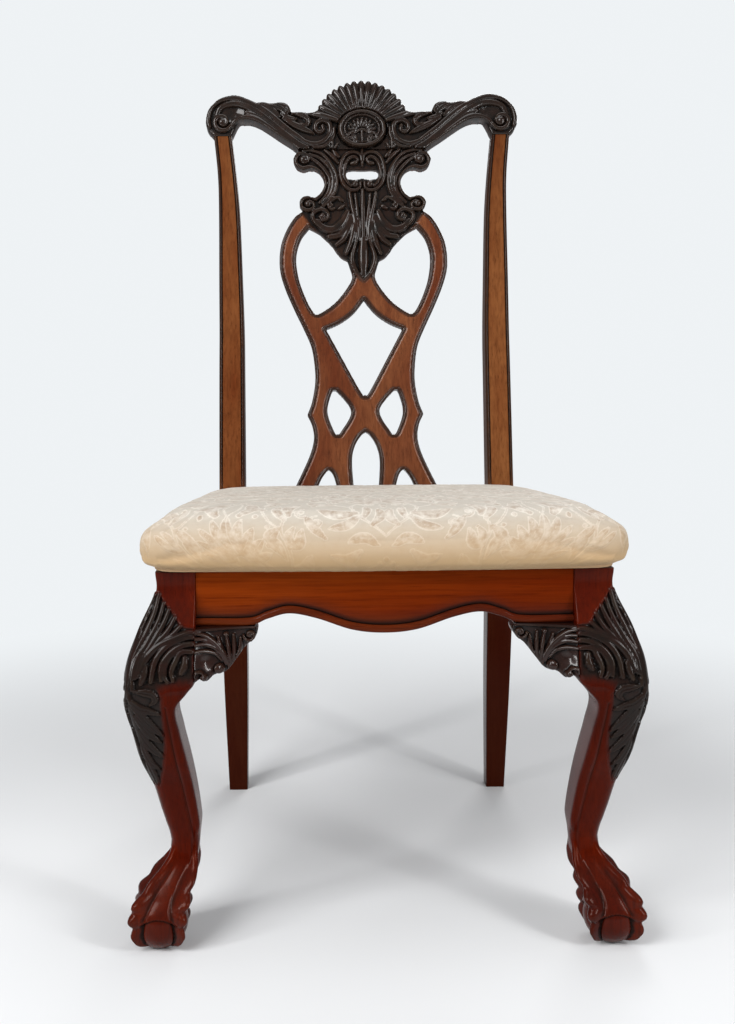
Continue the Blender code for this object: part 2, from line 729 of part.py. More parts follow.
def splat():
    """The pierced splat: strapwork below, scrolls and a drooping leaf above, a tenon at each end."""
    loops = splat_loops()
    fitted = 1 - 2 * FIT / SPLAT_HEIGHT
    loops = [[(x, FIT + y * fitted, *corner) for x, y, *corner in loop] for loop in loops]
    board = plate("splat", loops, SPLAT_THICKNESS, SPLAT_EDGE, 2)
    made = add_object("splat", board, "carved_mahogany", BACK_FRAME)
    high, low, *waist = on_splat(SPLAT_SCROLL)
    upper = spiral(high, math.tau * (SPLAT_TURNS - 0.25), -SPLAT_TURNS, SPLAT_EYE, UPPER_SCROLL, 8)
    lower = spiral(low, math.tau * (0.25 - SPLAT_TURNS), SPLAT_TURNS, SPLAT_EYE, LOWER_SCROLL, 7)
    scroll = upper + [Vector((x, y, 0)) for x, y in waist] + lower[::-1]
    for side, word in SIDES:
        path = [Vector((side * p.x, p.y, 0)) for p in scroll]
        scroll_bead(f"splat_scroll_{word}", path, SPLAT_BEAD, made, BACK_FRAME)
        for i, lobe in enumerate(LEAF_LOBES):
            leaf_lobe(f"leaf_{i}_{word}", [(side * x, y) for x, y in lobe], LEAF_SWELL, made)
    leaf_lobe("leaf_pendant", [(0, 470), (0, 430), (0, 385), (0, 350), (0, 337)], LEAF_SWELL * 1.45, made)
    root = 4 * SPLAT_EDGE
    add_tenon(made, CREST_TENON_WIDTH, SPLAT_HEIGHT - root, SPLAT_HEIGHT + TENON_LENGTH, SPLAT_THICKNESS)
    add_tenon(made, SHOE_TENON_WIDTH, -TENON_LENGTH, root, SPLAT_THICKNESS)
    return made


# The eyes of the splat's side scroll, upper and lower, and the way between them
SPLAT_SCROLL = [(91, 522), (85, 454.5), (80, 514), (67, 511), (55, 501)]
SPLAT_SCROLL += [(50.5, 487), (54, 472), (65, 462), (76, 460)]

LEAF_LOBES = (
    [(18, 470), (18, 430), (14, 392), (13, 370)],
    [(24, 440), (30, 412), (27, 388), (24, 376)],
    [(32, 442), (45, 418), (44, 402), (38, 388)],
    [(42, 452), (58, 443), (67, 428), (63, 413)],
)


def shoe():
    """The moulded block on the back rail that holds the foot of the splat."""
    half = SHOE_DEPTH / 2
    middle = SPLAT_Y + SPLAT_THICKNESS / 2 * math.cos(BACK_RAKE)
    slope = math.tan(BACK_RAKE)
    low = RAIL_TOP + FIT
    front, back = middle - half, middle + half
    top_front = SHOE_TOP - FIT + (SPLAT_Y - front) * slope
    top_back = SHOE_TOP - FIT - (back - SPLAT_Y) * slope
    lip, cove = SHOE_HEIGHT * 0.22, SHOE_DEPTH * 0.16
    profile = [
        (front, low), (front, low + lip), (front + cove, low + lip * 1.8), (front + cove, top_front - lip),
        (front + cove * 0.4, top_front - cove * 0.4 * slope), (back, top_back), (back, low),
    ]
    rings = [[(x, y, z) for y, z in profile] for x in (-SHOE_WIDTH / 2, SHOE_WIDTH / 2)]
    made = add_object("splat_shoe", loft_mesh("splat_shoe", rings, 30), "mahogany")
    cut_mortise(made, SHOE_TENON_WIDTH, -TENON_LENGTH, SHOE_HEIGHT, SPLAT_THICKNESS)
    return made


CREST_DRAWN = (476, 108)


def on_crest(loop):
    """Scales a loop of the crest rail's drawing, in millimetres above the joint, to the rail's size."""
    across, up = CREST_WIDTH / CREST_DRAWN[0], CREST_HEIGHT / CREST_DRAWN[1]
    return [(x * across, SPLAT_HEIGHT + y * up, *corner) for x, y, *corner in loop]


def crest_outline():
    """Outline of the crest rail: yoke with scrolled ears, leafy shoulders and the shell's mound."""
    ear_in = POST_TOP_X - POST_TOP_WIDTH / 2
    ear_out = POST_TOP_X + POST_TOP_WIDTH / 2
    across, up = CREST_WIDTH / CREST_DRAWN[0], CREST_HEIGHT / CREST_DRAWN[1]
    step = EAR_STEP / up
    half = [
        (-99, 0, True), (-107, 7), (-125, 19), (-142, 31), (-156, 40), (-168, 45), (-178, 46), (-188, 44),
        (-ear_in / across, step, True), (-ear_out / across, step, True),
        (-236, 34), (-238, 46), (-233, 63), (-218, 78), (-199, 84), (-186, 83), (-173, 78),
        (-160, 72, True), (-152, 75), (-138, 71), (-128, 73), (-114, 70), (-107, 59, True),
        (-98, 57), (-87, 59), (-72, 56, True), (-60, 70), (-46, 85), (-24, 97),
    ]
    return on_crest(mirrored(half))


SCALLOP = 0.035


def scallop_shell(name, centre, inner):
    """A fan of ribs out from an inner radius, raised on the front of the back's plane."""
    steps = SHELL_RIBS * 3
    outer = SHELL_RADIUS
    rings = []
    for radius, lift in ((inner, 0.35), (inner * 0.5 + outer * 0.5, 1.0), (outer * 0.97, 0.75), (outer, 0.1)):
        ring = []
        for i in range(steps + 1):
            turn = math.pi / 2 + SHELL_SPREAD * (0.5 - i / steps)
            wave = abs(math.sin(math.pi * i / 3))
            reach = radius * (1 + SCALLOP * wave * (radius > inner))
            rise = SHELL_RISE * lift * (0.62 + 0.38 * wave)
            across, up = reach * math.cos(turn), reach * math.sin(turn)
            ring.append(Vector((centre[0] + across, centre[1] + up, rise)))
        rings.append(ring)
    base = [Vector((p.x, p.y, -CREST_THICKNESS / 2)) for p in rings[-1]]
    foot = [Vector((p.x, p.y, -CREST_THICKNESS / 2)) for p in rings[0]]
    skins = [foot] + rings + [base]
    points = [p for ring in skins for p in ring]
    count = steps + 1
    faces = []
    for low in range(len(skins)):
        high = (low + 1) % len(skins)
        for i in range(steps):
            faces.append([low * count + i, low * count + i + 1, high * count + i + 1, high * count + i])
    for end in (0, steps):
        faces.append([k * count + end for k in range(len(skins))])
    return mesh_of(name, points, faces, 35)


def medallion_profile():
    """(radius, height) of the raised ring with a boss in its middle."""
    radius, rise = MEDALLION_WIDTH / 2, SHELL_RISE
    return [
        (radius, -CREST_THICKNESS / 2),
        (radius, rise * 0.5),
        (radius * 0.86, rise),
        (radius * 0.7, rise * 0.5),
        (radius * 0.55, rise * 0.5),
        (radius * 0.3, rise),
        (0, rise * 1.1),
    ]


# The eyes of the crest rail's scroll, at the ear and beside the medallion, and the way between them
CREST_SWEEP = [(214, 43), (63, 33), (227, 54), (219, 65), (206, 73), (192, 73), (176, 67)]
CREST_SWEEP += [(158, 56), (138, 41), (118, 27), (98, 16), (79, 14)]


def crest_rail():
    """The crest rail with its scrolled ears, running mouldings, shell and medallion."""
    loop = crest_outline()
    made = plate("crest_rail", [loop], CREST_THICKNESS, CREST_EDGE, 3)
    front = BACK_FRAME @ Matrix.Translation((0, 0, CREST_PROUD))
    rail = add_object("crest_rail", made, "carved_mahogany", front)
    centre = (0, SPLAT_HEIGHT + CREST_HEIGHT - SHELL_RADIUS * (1 + SCALLOP))
    shell = scallop_shell("crest_shell", centre, MEDALLION_WIDTH * 0.45)
    combine(rail, helper("crest_shell", shell, front), "UNION")
    medallion = turned_mesh("crest_medallion", medallion_profile(), 20)
    medallion.transform(Matrix.Diagonal((1, MEDALLION_HEIGHT / MEDALLION_WIDTH, 1, 1)))
    seat = Matrix.Translation((0, SPLAT_HEIGHT + MEDALLION_LIFT + MEDALLION_HEIGHT / 2, 0))
    combine(rail, helper("crest_medallion", medallion, front @ seat), "UNION")
    outer, near, *arm = on_crest(CREST_SWEEP)
    ear = spiral(outer, -math.tau * CREST_TURNS, CREST_TURNS, CREST_EYE, CREST_SCROLL, 9)
    inner = spiral(near, -math.tau * (CREST_TURNS + 0.25), CREST_TURNS, CREST_EYE, CREST_SCROLL, 8)
    sweep = ear + [Vector((x, y, 0)) for x, y in arm] + inner[::-1]
    for side, word in SIDES:
        path = [Vector((side * p.x, p.y, 0)) for p in sweep]
        scroll_bead(f"crest_scroll_{word}", path, CREST_BEAD, rail, front)
    below = SPLAT_HEIGHT - CREST_THICKNESS
    cut_mortise(rail, CREST_TENON_WIDTH, below, SPLAT_HEIGHT + TENON_LENGTH, SPLAT_THICKNESS)
    return rail


# Upholstered seat


def pad_corners():
    """(corner, rounding) of the seat's plan, from the front left round the front."""
    front = STUMP_FRONT - PAD_OVERHANG
    rear = POST_FRONT - PAD_REAR_GAP
    wide = FRONT_WIDTH / 2 + PAD_OVERHANG
    narrow = REAR_WIDTH / 2 + PAD_OVERHANG * 0.85
    return [
        (Vector((-wide, front)), PAD_FRONT_CORNER),
        (Vector((wide, front)), PAD_FRONT_CORNER),
        (Vector((narrow, rear)), PAD_REAR_CORNER),
        (Vector((-narrow, rear)), PAD_REAR_CORNER),
    ]


def pad_outline(inset):
    """The seat's plan with rounded corners and a bowed front, drawn in by an inset."""
    corners = pad_corners()
    centre = sum((p for p, _ in corners), Vector((0, 0))) / 4
    arc_steps, edge_steps = 5, 7
    made = []
    for i, (corner, radius) in enumerate(corners):
        before, after = corners[i - 1][0], corners[(i + 1) % 4][0]
        into, out = (corner - before).normalized(), (after - corner).normalized()
        start, end = corner - into * radius, corner + out * radius
        for k in range(arc_steps + 1):
            t = k / arc_steps
            made.append(start * (1 - t) ** 2 + corner * (2 * t * (1 - t)) + end * t * t)
        last = after - out * corners[(i + 1) % 4][1]
        for k in range(1, edge_steps):
            t = k / edge_steps
            bow = PAD_FRONT_BOW * math.sin(math.pi * t) if i == 0 else 0
            made.append(end * (1 - t) + last * t + Vector((0, -bow)))
    reach = min(abs(centre.y - corners[0][0].y), abs(corners[1][0].x))
    return [centre + (p - centre) * (1 - inset / reach) for p in made]


def pad_ring(inset, height):
    """One level of the seat as points in space. What is over the board gets thinner towards the rear."""
    front, rear = pad_corners()[0][0].y, pad_corners()[2][0].y
    made = []
    for p in pad_outline(inset):
        share = max(p.y - front, 0) / (rear - front)
        thin = 1 - share**PAD_FALL * (PAD_HEIGHT - PAD_REAR_HEIGHT) / PAD_HEIGHT
        rise = max(height - BOARD_TOP, 0)
        made.append(Vector((p.x, p.y, height - rise * (1 - thin))))
    return made


def pad_profile():
    """(inset, height) up the outside of the seat: tucked-in foot, full side, round shoulder, low crown."""
    low, high = PAD_BOTTOM, PAD_BOTTOM + PAD_HEIGHT
    shoulder = PAD_SHOULDER
    return [
        (PAD_TUCK, low),
        (PAD_TUCK * 0.3, low + PAD_TUCK * 0.6),
        (0.0, low + (PAD_HEIGHT - shoulder) * 0.45),
        (shoulder * 0.06, low + (PAD_HEIGHT - shoulder) * 0.9),
        (shoulder * 0.32, high - shoulder * 0.66),
        (shoulder * 0.85, high - shoulder * 0.36),
        (shoulder * 1.8, high - shoulder * 0.16),
        (shoulder * 3.2, high - shoulder * 0.05),
        (shoulder * 4.8, high),
    ]


def drawn_in(profile, distance):
    """A profile moved towards the inside of the seat by a distance."""
    made = []
    for i, (inset, height) in enumerate(profile):
        before, after = profile[max(i - 1, 0)], profile[min(i + 1, len(profile) - 1)]
        run = Vector((after[0] - before[0], after[1] - before[1])).normalized()
        made.append((inset + run.y * distance, height - run.x * distance))
    return made


def inset_at(profile, height):
    """How far in a profile lies at a height, along the straight line between its two nearest points."""
    for (inset, low), (other, high) in zip(profile, profile[1:]):
        if low <= height <= high:
            return inset + (other - inset) * (height - low) / (high - low)
    return profile[0][0]


def seat_cover():
    """The fabric over foam and board, with its hem turned under the board."""
    outer = pad_profile()
    inner = [(inset, height) for inset, height in drawn_in(outer, COVER_THICKNESS) if height > BOARD_BOTTOM]
    inner = [(outer[0][0] + COVER_THICKNESS, PAD_BOTTOM + COVER_THICKNESS)] + inner
    hem = outer[0][0] + COVER_HEM
    levels = [(hem, PAD_BOTTOM)] + outer
    crown, lining = levels[-1], inner[-1]
    rings = [pad_ring(hem, PAD_BOTTOM + COVER_THICKNESS)] + [pad_ring(*level) for level in levels]
    middle = sum(pad_ring(*crown), Vector()) / len(rings[0])
    outside = rings + [[middle]]
    inside = [[middle - Vector((0, 0, crown[1] - lining[1]))]]
    inside += [pad_ring(*level) for level in reversed(inner)]
    points, faces = [], []
    for skin in (outside, inside):
        start = len(points)
        for ring in skin:
            points.extend(ring)
        sizes = [len(ring) for ring in skin]
        at = start
        for a, b in zip(sizes, sizes[1:]):
            count = max(a, b)
            for i in range(count):
                j = (i + 1) % count
                corners = [at + i % a, at + j % a, at + a + j % b, at + a + i % b]
                faces.append(list(dict.fromkeys(corners)))
            at += a
    count = len(rings[0])
    last = len(points) - count
    faces += [[i, (i + 1) % count, last + (i + 1) % count, last + i] for i in range(count)]
    return add_object("seat_cover", mesh_of("seat_cover", points, faces, 60), "seat_fabric")


def seat_filling():
    """Foam block and plywood board, which the cover encloses."""
    lining = drawn_in(pad_profile(), COVER_THICKNESS + 2 * FIT)
    edge = PAD_TUCK + COVER_THICKNESS + 2 * FIT
    board = [pad_ring(edge, BOARD_BOTTOM), pad_ring(edge, BOARD_TOP)]
    panel = add_object("seat_board", loft_mesh("seat_board", board, 30), "plywood")
    foot = BOARD_TOP + FIT
    above = [(inset, height) for inset, height in lining if height > foot + FIT]
    foam = [pad_ring(inset_at(lining, foot), foot)] + [pad_ring(*level) for level in above]
    add_object("seat_foam", loft_mesh("seat_foam", foam, 60), "foam")
    under = COVER_HEM + pad_profile()[0][0] + FIT
    cloth = [pad_ring(under, BOARD_BOTTOM - FIT - DUST_THICKNESS), pad_ring(under, BOARD_BOTTOM - FIT)]
    dust = add_object("dust_cover", loft_mesh("dust_cover", cloth, 30), "cambric")
    return panel, dust


# Assembly


def add_materials():
    """Finishes of the pieces."""
    new_material("mahogany", (0.17, 0.045, 0.016), 0.28)
    new_material("carved_mahogany", (0.055, 0.028, 0.016), 0.3)
    new_material("block_pine", (0.62, 0.44, 0.26), 0.7)
    new_material("dowel_beech", (0.66, 0.46, 0.28), 0.6)
    new_material("screw_steel", (0.55, 0.53, 0.5), 0.35, 1.0)
    new_material("seat_fabric", (0.66, 0.53, 0.38), 0.85)
    new_material("foam", (0.85, 0.78, 0.58), 0.95)
    new_material("plywood", (0.6, 0.43, 0.25), 0.7)
    new_material("cambric", (0.03, 0.03, 0.03), 0.9)


def join_frame(parts):
    """Dowels across the joints of the seat frame and under the crest rail's ears."""
    levels = (RAIL_TOP - DOWEL_EDGE, RAIL_BOTTOM + DOWEL_EDGE)
    for side, word in SIDES:
        leg, post, rail = (parts[f"{p}_{word}"] for p in ("front_leg", "back_post", "side_rail"))
        for z, level in zip(levels, ("upper", "lower")):
            inner = side * (STUMP_X - STUMP / 2)
            middle = FRONT_RAIL_FACE + RAIL_THICKNESS / 2
            at = Vector((inner, middle, z))
            add_dowel(f"dowel_front_{word}_{level}", at, (side, 0, 0), parts["front_rail"], leg)
            inner = side * (POST_X - POST_WIDTH / 2)
            at = Vector((inner, BACK_RAIL_FACE + RAIL_THICKNESS / 2, z))
            add_dowel(f"dowel_back_{word}_{level}", at, (side, 0, 0), parts["back_rail"], post)
            for name, y, other in (("side_front", STUMP_BACK, leg), ("side_back", POST_FRONT, post)):
                x = side * (side_rail_face(y) - RAIL_THICKNESS / 2)
                add_dowel(f"dowel_{name}_{word}_{level}", Vector((x, y, z)), (0, 1, 0), rail, other)
        top = BACK_FRAME @ Vector((side * POST_TOP_X, SPLAT_HEIGHT + EAR_STEP, -POST_TOP_DEPTH / 2))
        up = BACK_FRAME.to_3x3() @ Vector((0, 1, 0))
        add_dowel(f"dowel_crest_{word}", top, up, post, parts["crest_rail"])


def brace_corners(parts):
    """Corner blocks with their screws into the rails and up into the seat board."""
    for side, word in SIDES:
        for end in ("front", "back"):
            rail = parts[f"{end}_rail"]
            rail_y = FRONT_RAIL_FACE + RAIL_THICKNESS if end == "front" else BACK_RAIL_FACE
            corner = Vector((side * (side_rail_face(rail_y) - RAIL_THICKNESS), rail_y))
            across = Vector((-side, 0))
            slope = (REAR_WIDTH - FRONT_WIDTH) / 2 / (POST_FRONT - STUMP_BACK)
            run = Vector((side * slope, 1)).normalized() * (1 if end == "front" else -1)
            name = f"corner_block_{end}_{word}"
            block = corner_block(name, corner, across, run)
            rails = (rail, parts[f"side_rail_{word}"])
            fasten_block(f"{end}_{word}", block, corner, (across, run), rails, parts)


def fasten_block(word, block, corner, runs, rails, parts):
    """One screw into each rail, square to its face, and one up into the seat board."""
    level = RAIL_TOP - FIT - BLOCK_HEIGHT / 2
    for i, (run, rail) in enumerate(zip(runs, rails)):
        other = runs[1 - i]
        normal = Vector((-run.y, run.x))
        if normal.dot(other) < 0:
            normal = -normal
        depth = BLOCK_EAR * 1.2
        at = corner + run * (BLOCK_NEAR + BLOCK_FAR) / 2 + normal * depth
        head = Vector((at.x, at.y, level))
        into = Vector((-normal.x, -normal.y, 0))
        add_screw(f"block_screw_{word}_{i + 1}", head, into, depth + SCREW_BITE, [block, rail])
    middle = corner + (runs[0] + runs[1]) * ((BLOCK_NEAR + BLOCK_FAR) / 4 + BLOCK_EAR / 2)
    foot = RAIL_TOP - FIT - BLOCK_HEIGHT / 2
    head = Vector((middle.x, middle.y, foot))
    length = BOARD_BOTTOM + BOARD_THICKNESS * 0.7 - foot
    seat = [parts["dust_cover"], parts["seat_board"]]
    add_screw(f"seat_screw_{word}", head, (0, 0, 1), length, [block] + seat)


def main():
    for old in list(bpy.data.objects):
        bpy.data.objects.remove(old)
    HOLES.clear()
    chair = bpy.data.objects.new("chair", None)
    bpy.context.scene.collection.objects.link(chair)
    add_materials()
    parts = {}
    for side, word in SIDES:
        for piece in (front_leg(side, word), back_post(side, word), side_rail(side, word)):
            parts[piece.name] = piece
        top = RAIL_BOTTOM - FIT
        inner = side * (STUMP_X - STUMP / 2 - FIT)
        knee_bracket(f"knee_bracket_front_{word}", (inner, STUMP_FRONT, top), (-side, 0, 0), (0, -1, 0))
        edge = (side * FRONT_WIDTH / 2, STUMP_BACK + FIT, top)
        knee_bracket(f"knee_bracket_side_{word}", edge, (0, 1, 0), (side, 0, 0))
    for piece in (front_rail(), back_rail(), splat(), shoe(), crest_rail()):
        parts[piece.name] = piece
    seat_cover()
    for piece in seat_filling():
        parts[piece.name] = piece
    join_frame(parts)
    brace_corners(parts)
    for name, holes in HOLES.items():
        drill(bpy.data.objects[name], holes)


main()
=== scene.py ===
"""Looks of a carved dining chair: lacquered mahogany, carved back and knees, damask seat.

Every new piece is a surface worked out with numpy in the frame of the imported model, in metres.
"""

import math

import bpy
import numpy as np
from mathutils import Matrix, Vector


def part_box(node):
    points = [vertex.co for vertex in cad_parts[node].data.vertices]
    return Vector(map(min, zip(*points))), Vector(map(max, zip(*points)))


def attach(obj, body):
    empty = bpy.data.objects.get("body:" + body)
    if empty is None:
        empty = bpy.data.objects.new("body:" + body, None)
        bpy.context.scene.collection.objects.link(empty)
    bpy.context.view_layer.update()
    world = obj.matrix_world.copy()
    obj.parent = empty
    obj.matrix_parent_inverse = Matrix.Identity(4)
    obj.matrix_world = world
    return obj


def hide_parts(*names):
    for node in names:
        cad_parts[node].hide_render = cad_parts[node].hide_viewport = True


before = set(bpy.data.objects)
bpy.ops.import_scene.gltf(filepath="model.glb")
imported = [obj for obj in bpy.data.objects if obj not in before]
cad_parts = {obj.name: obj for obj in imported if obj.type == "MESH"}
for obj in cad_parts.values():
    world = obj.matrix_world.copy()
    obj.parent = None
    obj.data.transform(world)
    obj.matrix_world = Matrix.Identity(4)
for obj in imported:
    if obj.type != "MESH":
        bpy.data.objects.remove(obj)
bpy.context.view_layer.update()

bl_info = {
    "name": "Carved dining chair",
    "version": (1, 0, 0),
    "blender": (4, 5, 0),
    "location": "3D View > Sidebar > Chair",
    "description": "Builds the finished surfaces of a carved dining chair around its packed model",
    "category": "Add Mesh",
}

# Sides, a millimetre in metres, the gap between touching pieces, and the weight for rubbing and painted light
# on level ground
SIDES = {"left": -1, "right": 1}
MM = 0.001
FIT = 0.0003
LEVEL_WEAR_AND_LIGHT = 0.5

# Sizes read from the frame
BACK_RAIL_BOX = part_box("back_rail")
FRONT_RAIL_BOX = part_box("front_rail")
SHOE_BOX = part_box("splat_shoe")
PAD_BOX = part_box("seat_cover")
DUST_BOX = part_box("dust_cover")

# Seat frame
RAIL_TOP = BACK_RAIL_BOX[1].z
RAIL_BOTTOM = BACK_RAIL_BOX[0].z
RAIL_THICKNESS = 0.024
RAIL_RECESS = 0.003
FRONT_WIDTH = 0.512
REAR_WIDTH = 0.438
BACK_RAIL_FACE = BACK_RAIL_BOX[0].y
POST_FRONT = BACK_RAIL_FACE - RAIL_RECESS
RAIL_FLAT = 0.058
RAIL_ARCH = 0.013
RAIL_DROP = 0.010
BEAD_RADIUS = 0.0045
BEAD_STEPS = 16
EDGE_SOFT = 0.0015

# Front legs
STUMP = 0.045
STUMP_X = (FRONT_WIDTH - STUMP) / 2
FRONT_RAIL_FACE = FRONT_RAIL_BOX[1].y - RAIL_THICKNESS
STUMP_FRONT = FRONT_RAIL_FACE - RAIL_RECESS
STUMP_BACK = STUMP_FRONT + STUMP
STUMP_Y = STUMP_FRONT + STUMP / 2
RAIL_END = STUMP_X - STUMP / 2 - FIT
KNEE_REACH = 0.0348
KNEE_Z = 0.300
FAN_TOP_Z = 0.406
HOLLOW_SHIFT = 0.0005
ANKLE_Z = 0.115
ANKLE_WIDTH = 0.0322
ANKLE_SHIFT = -0.0032
ANKLE_GAIN = 0.002
FOOT_SHIFT = 0.0240
BALL_RADIUS = 0.031
BALL_SINK = 0.002
LIP_Z = 0.0415
LIP_ARCH = 0.012
LIP_EDGE = 0.0012
TOE_REACH = 0.0425
TOE_SPREAD = math.radians(14)
TOE_VALLEY = 0.0018
CARVED_FROM = 0.18
CARVED_TO = 0.411
BRACKET_LENGTH = 0.068
BRACKET_DROP = 0.057
BRACKET_BACK = 0.030
BRACKET_TOP = RAIL_BOTTOM - FIT

# Back
BACK_RAKE = math.radians(10.5)
SHOE_HEIGHT = 0.025
SHOE_TOP = RAIL_TOP + SHOE_HEIGHT + FIT
SPLAT_SETBACK = 0.004
SPLAT_Y = POST_FRONT + SPLAT_SETBACK
SPLAT_HEIGHT = 0.538
SPLAT_THICKNESS = 0.016
CREST_THICKNESS = 0.030
CREST_PROUD = 0.004
EAR_STEP = 0.022
POST_X = 0.200
POST_WIDTH = 0.038
POST_DEPTH = 0.040
POST_TOP_X = 0.2125
POST_TOP_WIDTH = 0.027
POST_TOP_DEPTH = 0.027
POST_FOOT_WIDTH = 0.028
POST_FOOT_DEPTH = 0.030
POST_FOOT_SPLAY = 0.033
POST_STRAIGHT = 0.012
POST_STRIP = 0.0052
POST_SHADE_FROM = 0.78
POST_SHADE_RUN = 0.28

# Seat pad
SEAT_REAR_X = REAR_WIDTH / 2 + 0.0204
SEAT_BOW = 0.006
SEAT_CORNERS = (0.046, 0.016)
SEAT_CROWN_CORNERS = (0.190, 0.150)
SEAT_REACH = (PAD_BOX[1].y - PAD_BOX[0].y - SEAT_BOW) / 2
SEAT_BOARD_TOP = PAD_BOX[0].z + 0.0138
SEAT_FALL = 25 / 74
SEAT_GRID = 200
SEAT_SHRINK = 0.003
SEAT_SWELL = 0.0075
SEAT_SMOOTH = 40
SEAT_HELD = 0.030
SEAT_MOTION_CAP = 0.004
SEAT_HEM_RISE = 0.006
SEAT_EMBOSS = 0.0003
SEAT_CROWN_RUN = 0.09
SEAT_EASED_FROM = 0.11
SEAT_EASED_RUN = 0.06
DUST_HANG = 0.003
DUST_PUCKER = 0.00025
DUST_THICKNESS = 0.0006

# Stage
CAMERA_SHIFT = (0.0426, -0.0304)
SENSOR_HEIGHT = 36.0
FLOOR_HALF = 14.0
FLOOR_FADE = (0.55, 1.5)
WORLD_LIGHT = 0.22
AIM = (0, 0, 0.5)
LAMPS = {
    "key": ((-1.5, -1.9, 2.3), 56.0, (1.3, 1.3)),
    "fill": ((1.9, -1.6, 1.7), 20.0, (1.0, 1.0)),
    "top": ((0.1, -0.3, 2.8), 14.0, (1.6, 1.0)),
    "rear": ((0.7, 2.3, 1.9), 22.0, (1.2, 1.2)),
    "strip": ((-1.3, -0.9, 0.8), 7.0, (0.10, 1.0)),
    "other_strip": ((1.2, -1.2, 0.9), 7.0, (0.10, 1.0)),
}


# Curves and meshes

def smooth_path(points, per_span=8, closed=False):
    """Catmull-Rom curve through rows of numbers: each span is a cubic whose end slopes are half
    the chord between the neighbours; an open curve's end slopes follow its end spans."""
    rows = np.asarray(points, float)
    if closed:
        rows = np.vstack([rows[-1:], rows, rows[:2]])
    else:
        rows = np.vstack([2 * rows[:1] - rows[1:2], rows, 2 * rows[-1:] - rows[-2:-1]])
    t = np.linspace(0, 1, per_span, endpoint=False)[None, :, None]
    a, b, c, d = (rows[i:len(rows) - 3 + i][:, None, :] for i in range(4))
    curve = b + (c - a) * t / 2 + (a - 2.5 * b + 2 * c - d / 2) * t**2 + (1.5 * (b - c) + (d - a) / 2) * t**3
    curve = curve.reshape(-1, rows.shape[1])
    return curve if closed else np.vstack([curve, rows[-2:-1]])


# Marks a sharp bend among the points of a path
BEND = True


def cornered_path(points, per_span=6):
    """Open curve through (x, y) or (x, y, BEND) points: smooth spans that meet at the sharp bends."""
    cuts = [0] + [i for i, p in enumerate(points[1:-1], 1) if len(p) > 2] + [len(points) - 1]
    plain = [p[:2] for p in points]
    spans = [smooth_path(plain[a:b + 1], per_span)[:-1] for a, b in zip(cuts, cuts[1:])]
    return np.vstack(spans + [np.array([plain[-1]], float)])


def grid_quads(rows, columns, closed=True):
    """Corner numbers of a grid's quads; closed joins the last column to the first."""
    across = np.arange(columns if closed else columns - 1)
    first = np.arange(rows - 1)[:, None] * columns
    a, b = first + across, first + (across + 1) % columns
    return np.stack([a, b, b + columns, a + columns], -1).reshape(-1, 4)


def put_piece(name, points, quads, finish, stands_for, triangles=None, crease=35, weights=None):
    """One mesh object from whole arrays of points, quads and triangles, with vertex weights as attributes."""
    triangles = np.zeros((0, 3), int) if triangles is None else triangles
    corners = np.concatenate([quads.ravel(), triangles.ravel()]).astype(np.int32)
    sizes = np.concatenate([np.full(len(quads), 4), np.full(len(triangles), 3)])
    starts = np.concatenate([[0], np.cumsum(sizes)[:-1]]).astype(np.int32)
    mesh = bpy.data.meshes.new(name)
    mesh.vertices.add(len(points))
    mesh.vertices.foreach_set("co", np.ascontiguousarray(points, dtype=np.float32).ravel())
    mesh.loops.add(len(corners))
    mesh.loops.foreach_set("vertex_index", corners)
    mesh.polygons.add(len(sizes))
    mesh.polygons.foreach_set("loop_start", starts)
    for label, values in (weights or {}).items():
        layer = mesh.attributes.new(label, "FLOAT", "POINT")
        layer.data.foreach_set("value", np.ascontiguousarray(values, dtype=np.float32).ravel())
    mesh.update(calc_edges=True)
    mesh.validate()
    mesh.shade_smooth()
    mesh.set_sharp_from_angle(angle=math.radians(crease))
    mesh.materials.append(finish)
    piece = bpy.data.objects.new(name, mesh)
    bpy.context.scene.collection.objects.link(piece)
    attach(piece, "root")
    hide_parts(*stands_for)
    return piece


def loft(rings):
    """Points, quads and end-fan triangles of a closed tube through rings of shape (rows, columns, 3)."""
    rows, columns = rings.shape[:2]
    middles = np.stack([rings[0].mean(0), rings[-1].mean(0)])
    points = np.vstack([rings.reshape(-1, 3), middles])
    around = np.arange(columns)
    following = (around + 1) % columns
    last = (rows - 1) * columns
    bottom = np.stack([following, around, np.full(columns, rows * columns)], -1)
    top = np.stack([last + around, last + following, np.full(columns, rows * columns + 1)], -1)
    return points, grid_quads(rows, columns), np.vstack([bottom, top])


def with_ends(weights):
    """A loft's weights with those of its two end points added: no glaze, and the level weight for rubbing and
    painted light.
    """
    ends = {"wear_and_painted_light": LEVEL_WEAR_AND_LIGHT}
    return {name: np.append(value.ravel(), [ends.get(name, 0.0)] * 2) for name, value in weights.items()}


def flipped(faces):
    """The same faces seen from their other side."""
    return faces[:, ::-1]


def put_loft(name, rings, weights, finish, slot, node, crease=30, mirrored=False):
    """A piece from rings and their weights, which takes the place of a node. Mirrored rings have their faces
    turned round."""
    points, quads, fans = loft(rings)
    if mirrored:
        quads, fans = flipped(quads), flipped(fans)
    put_piece(name, points, quads, finish, [node], fans, crease, with_ends(weights))


def put_plate(name, plate, finish, node):
    """A carved piece from a plate's points, quads, triangles and weights, which takes the place of a node."""
    points, quads, triangles, weights = plate
    put_piece(name, points, quads, finish, [node], triangles, 50, weights)


def lean_back(x, up, out):
    """World points of the raked back: x across, up along the rake from the shoe, out to the front."""
    sine, cosine = math.sin(BACK_RAKE), math.cos(BACK_RAKE)
    x, up, out = np.broadcast_arrays(x, up, out)
    return np.stack([x, SPLAT_Y + up * sine - out * cosine, SHOE_TOP + up * cosine + out * sine], -1)


# Finishes

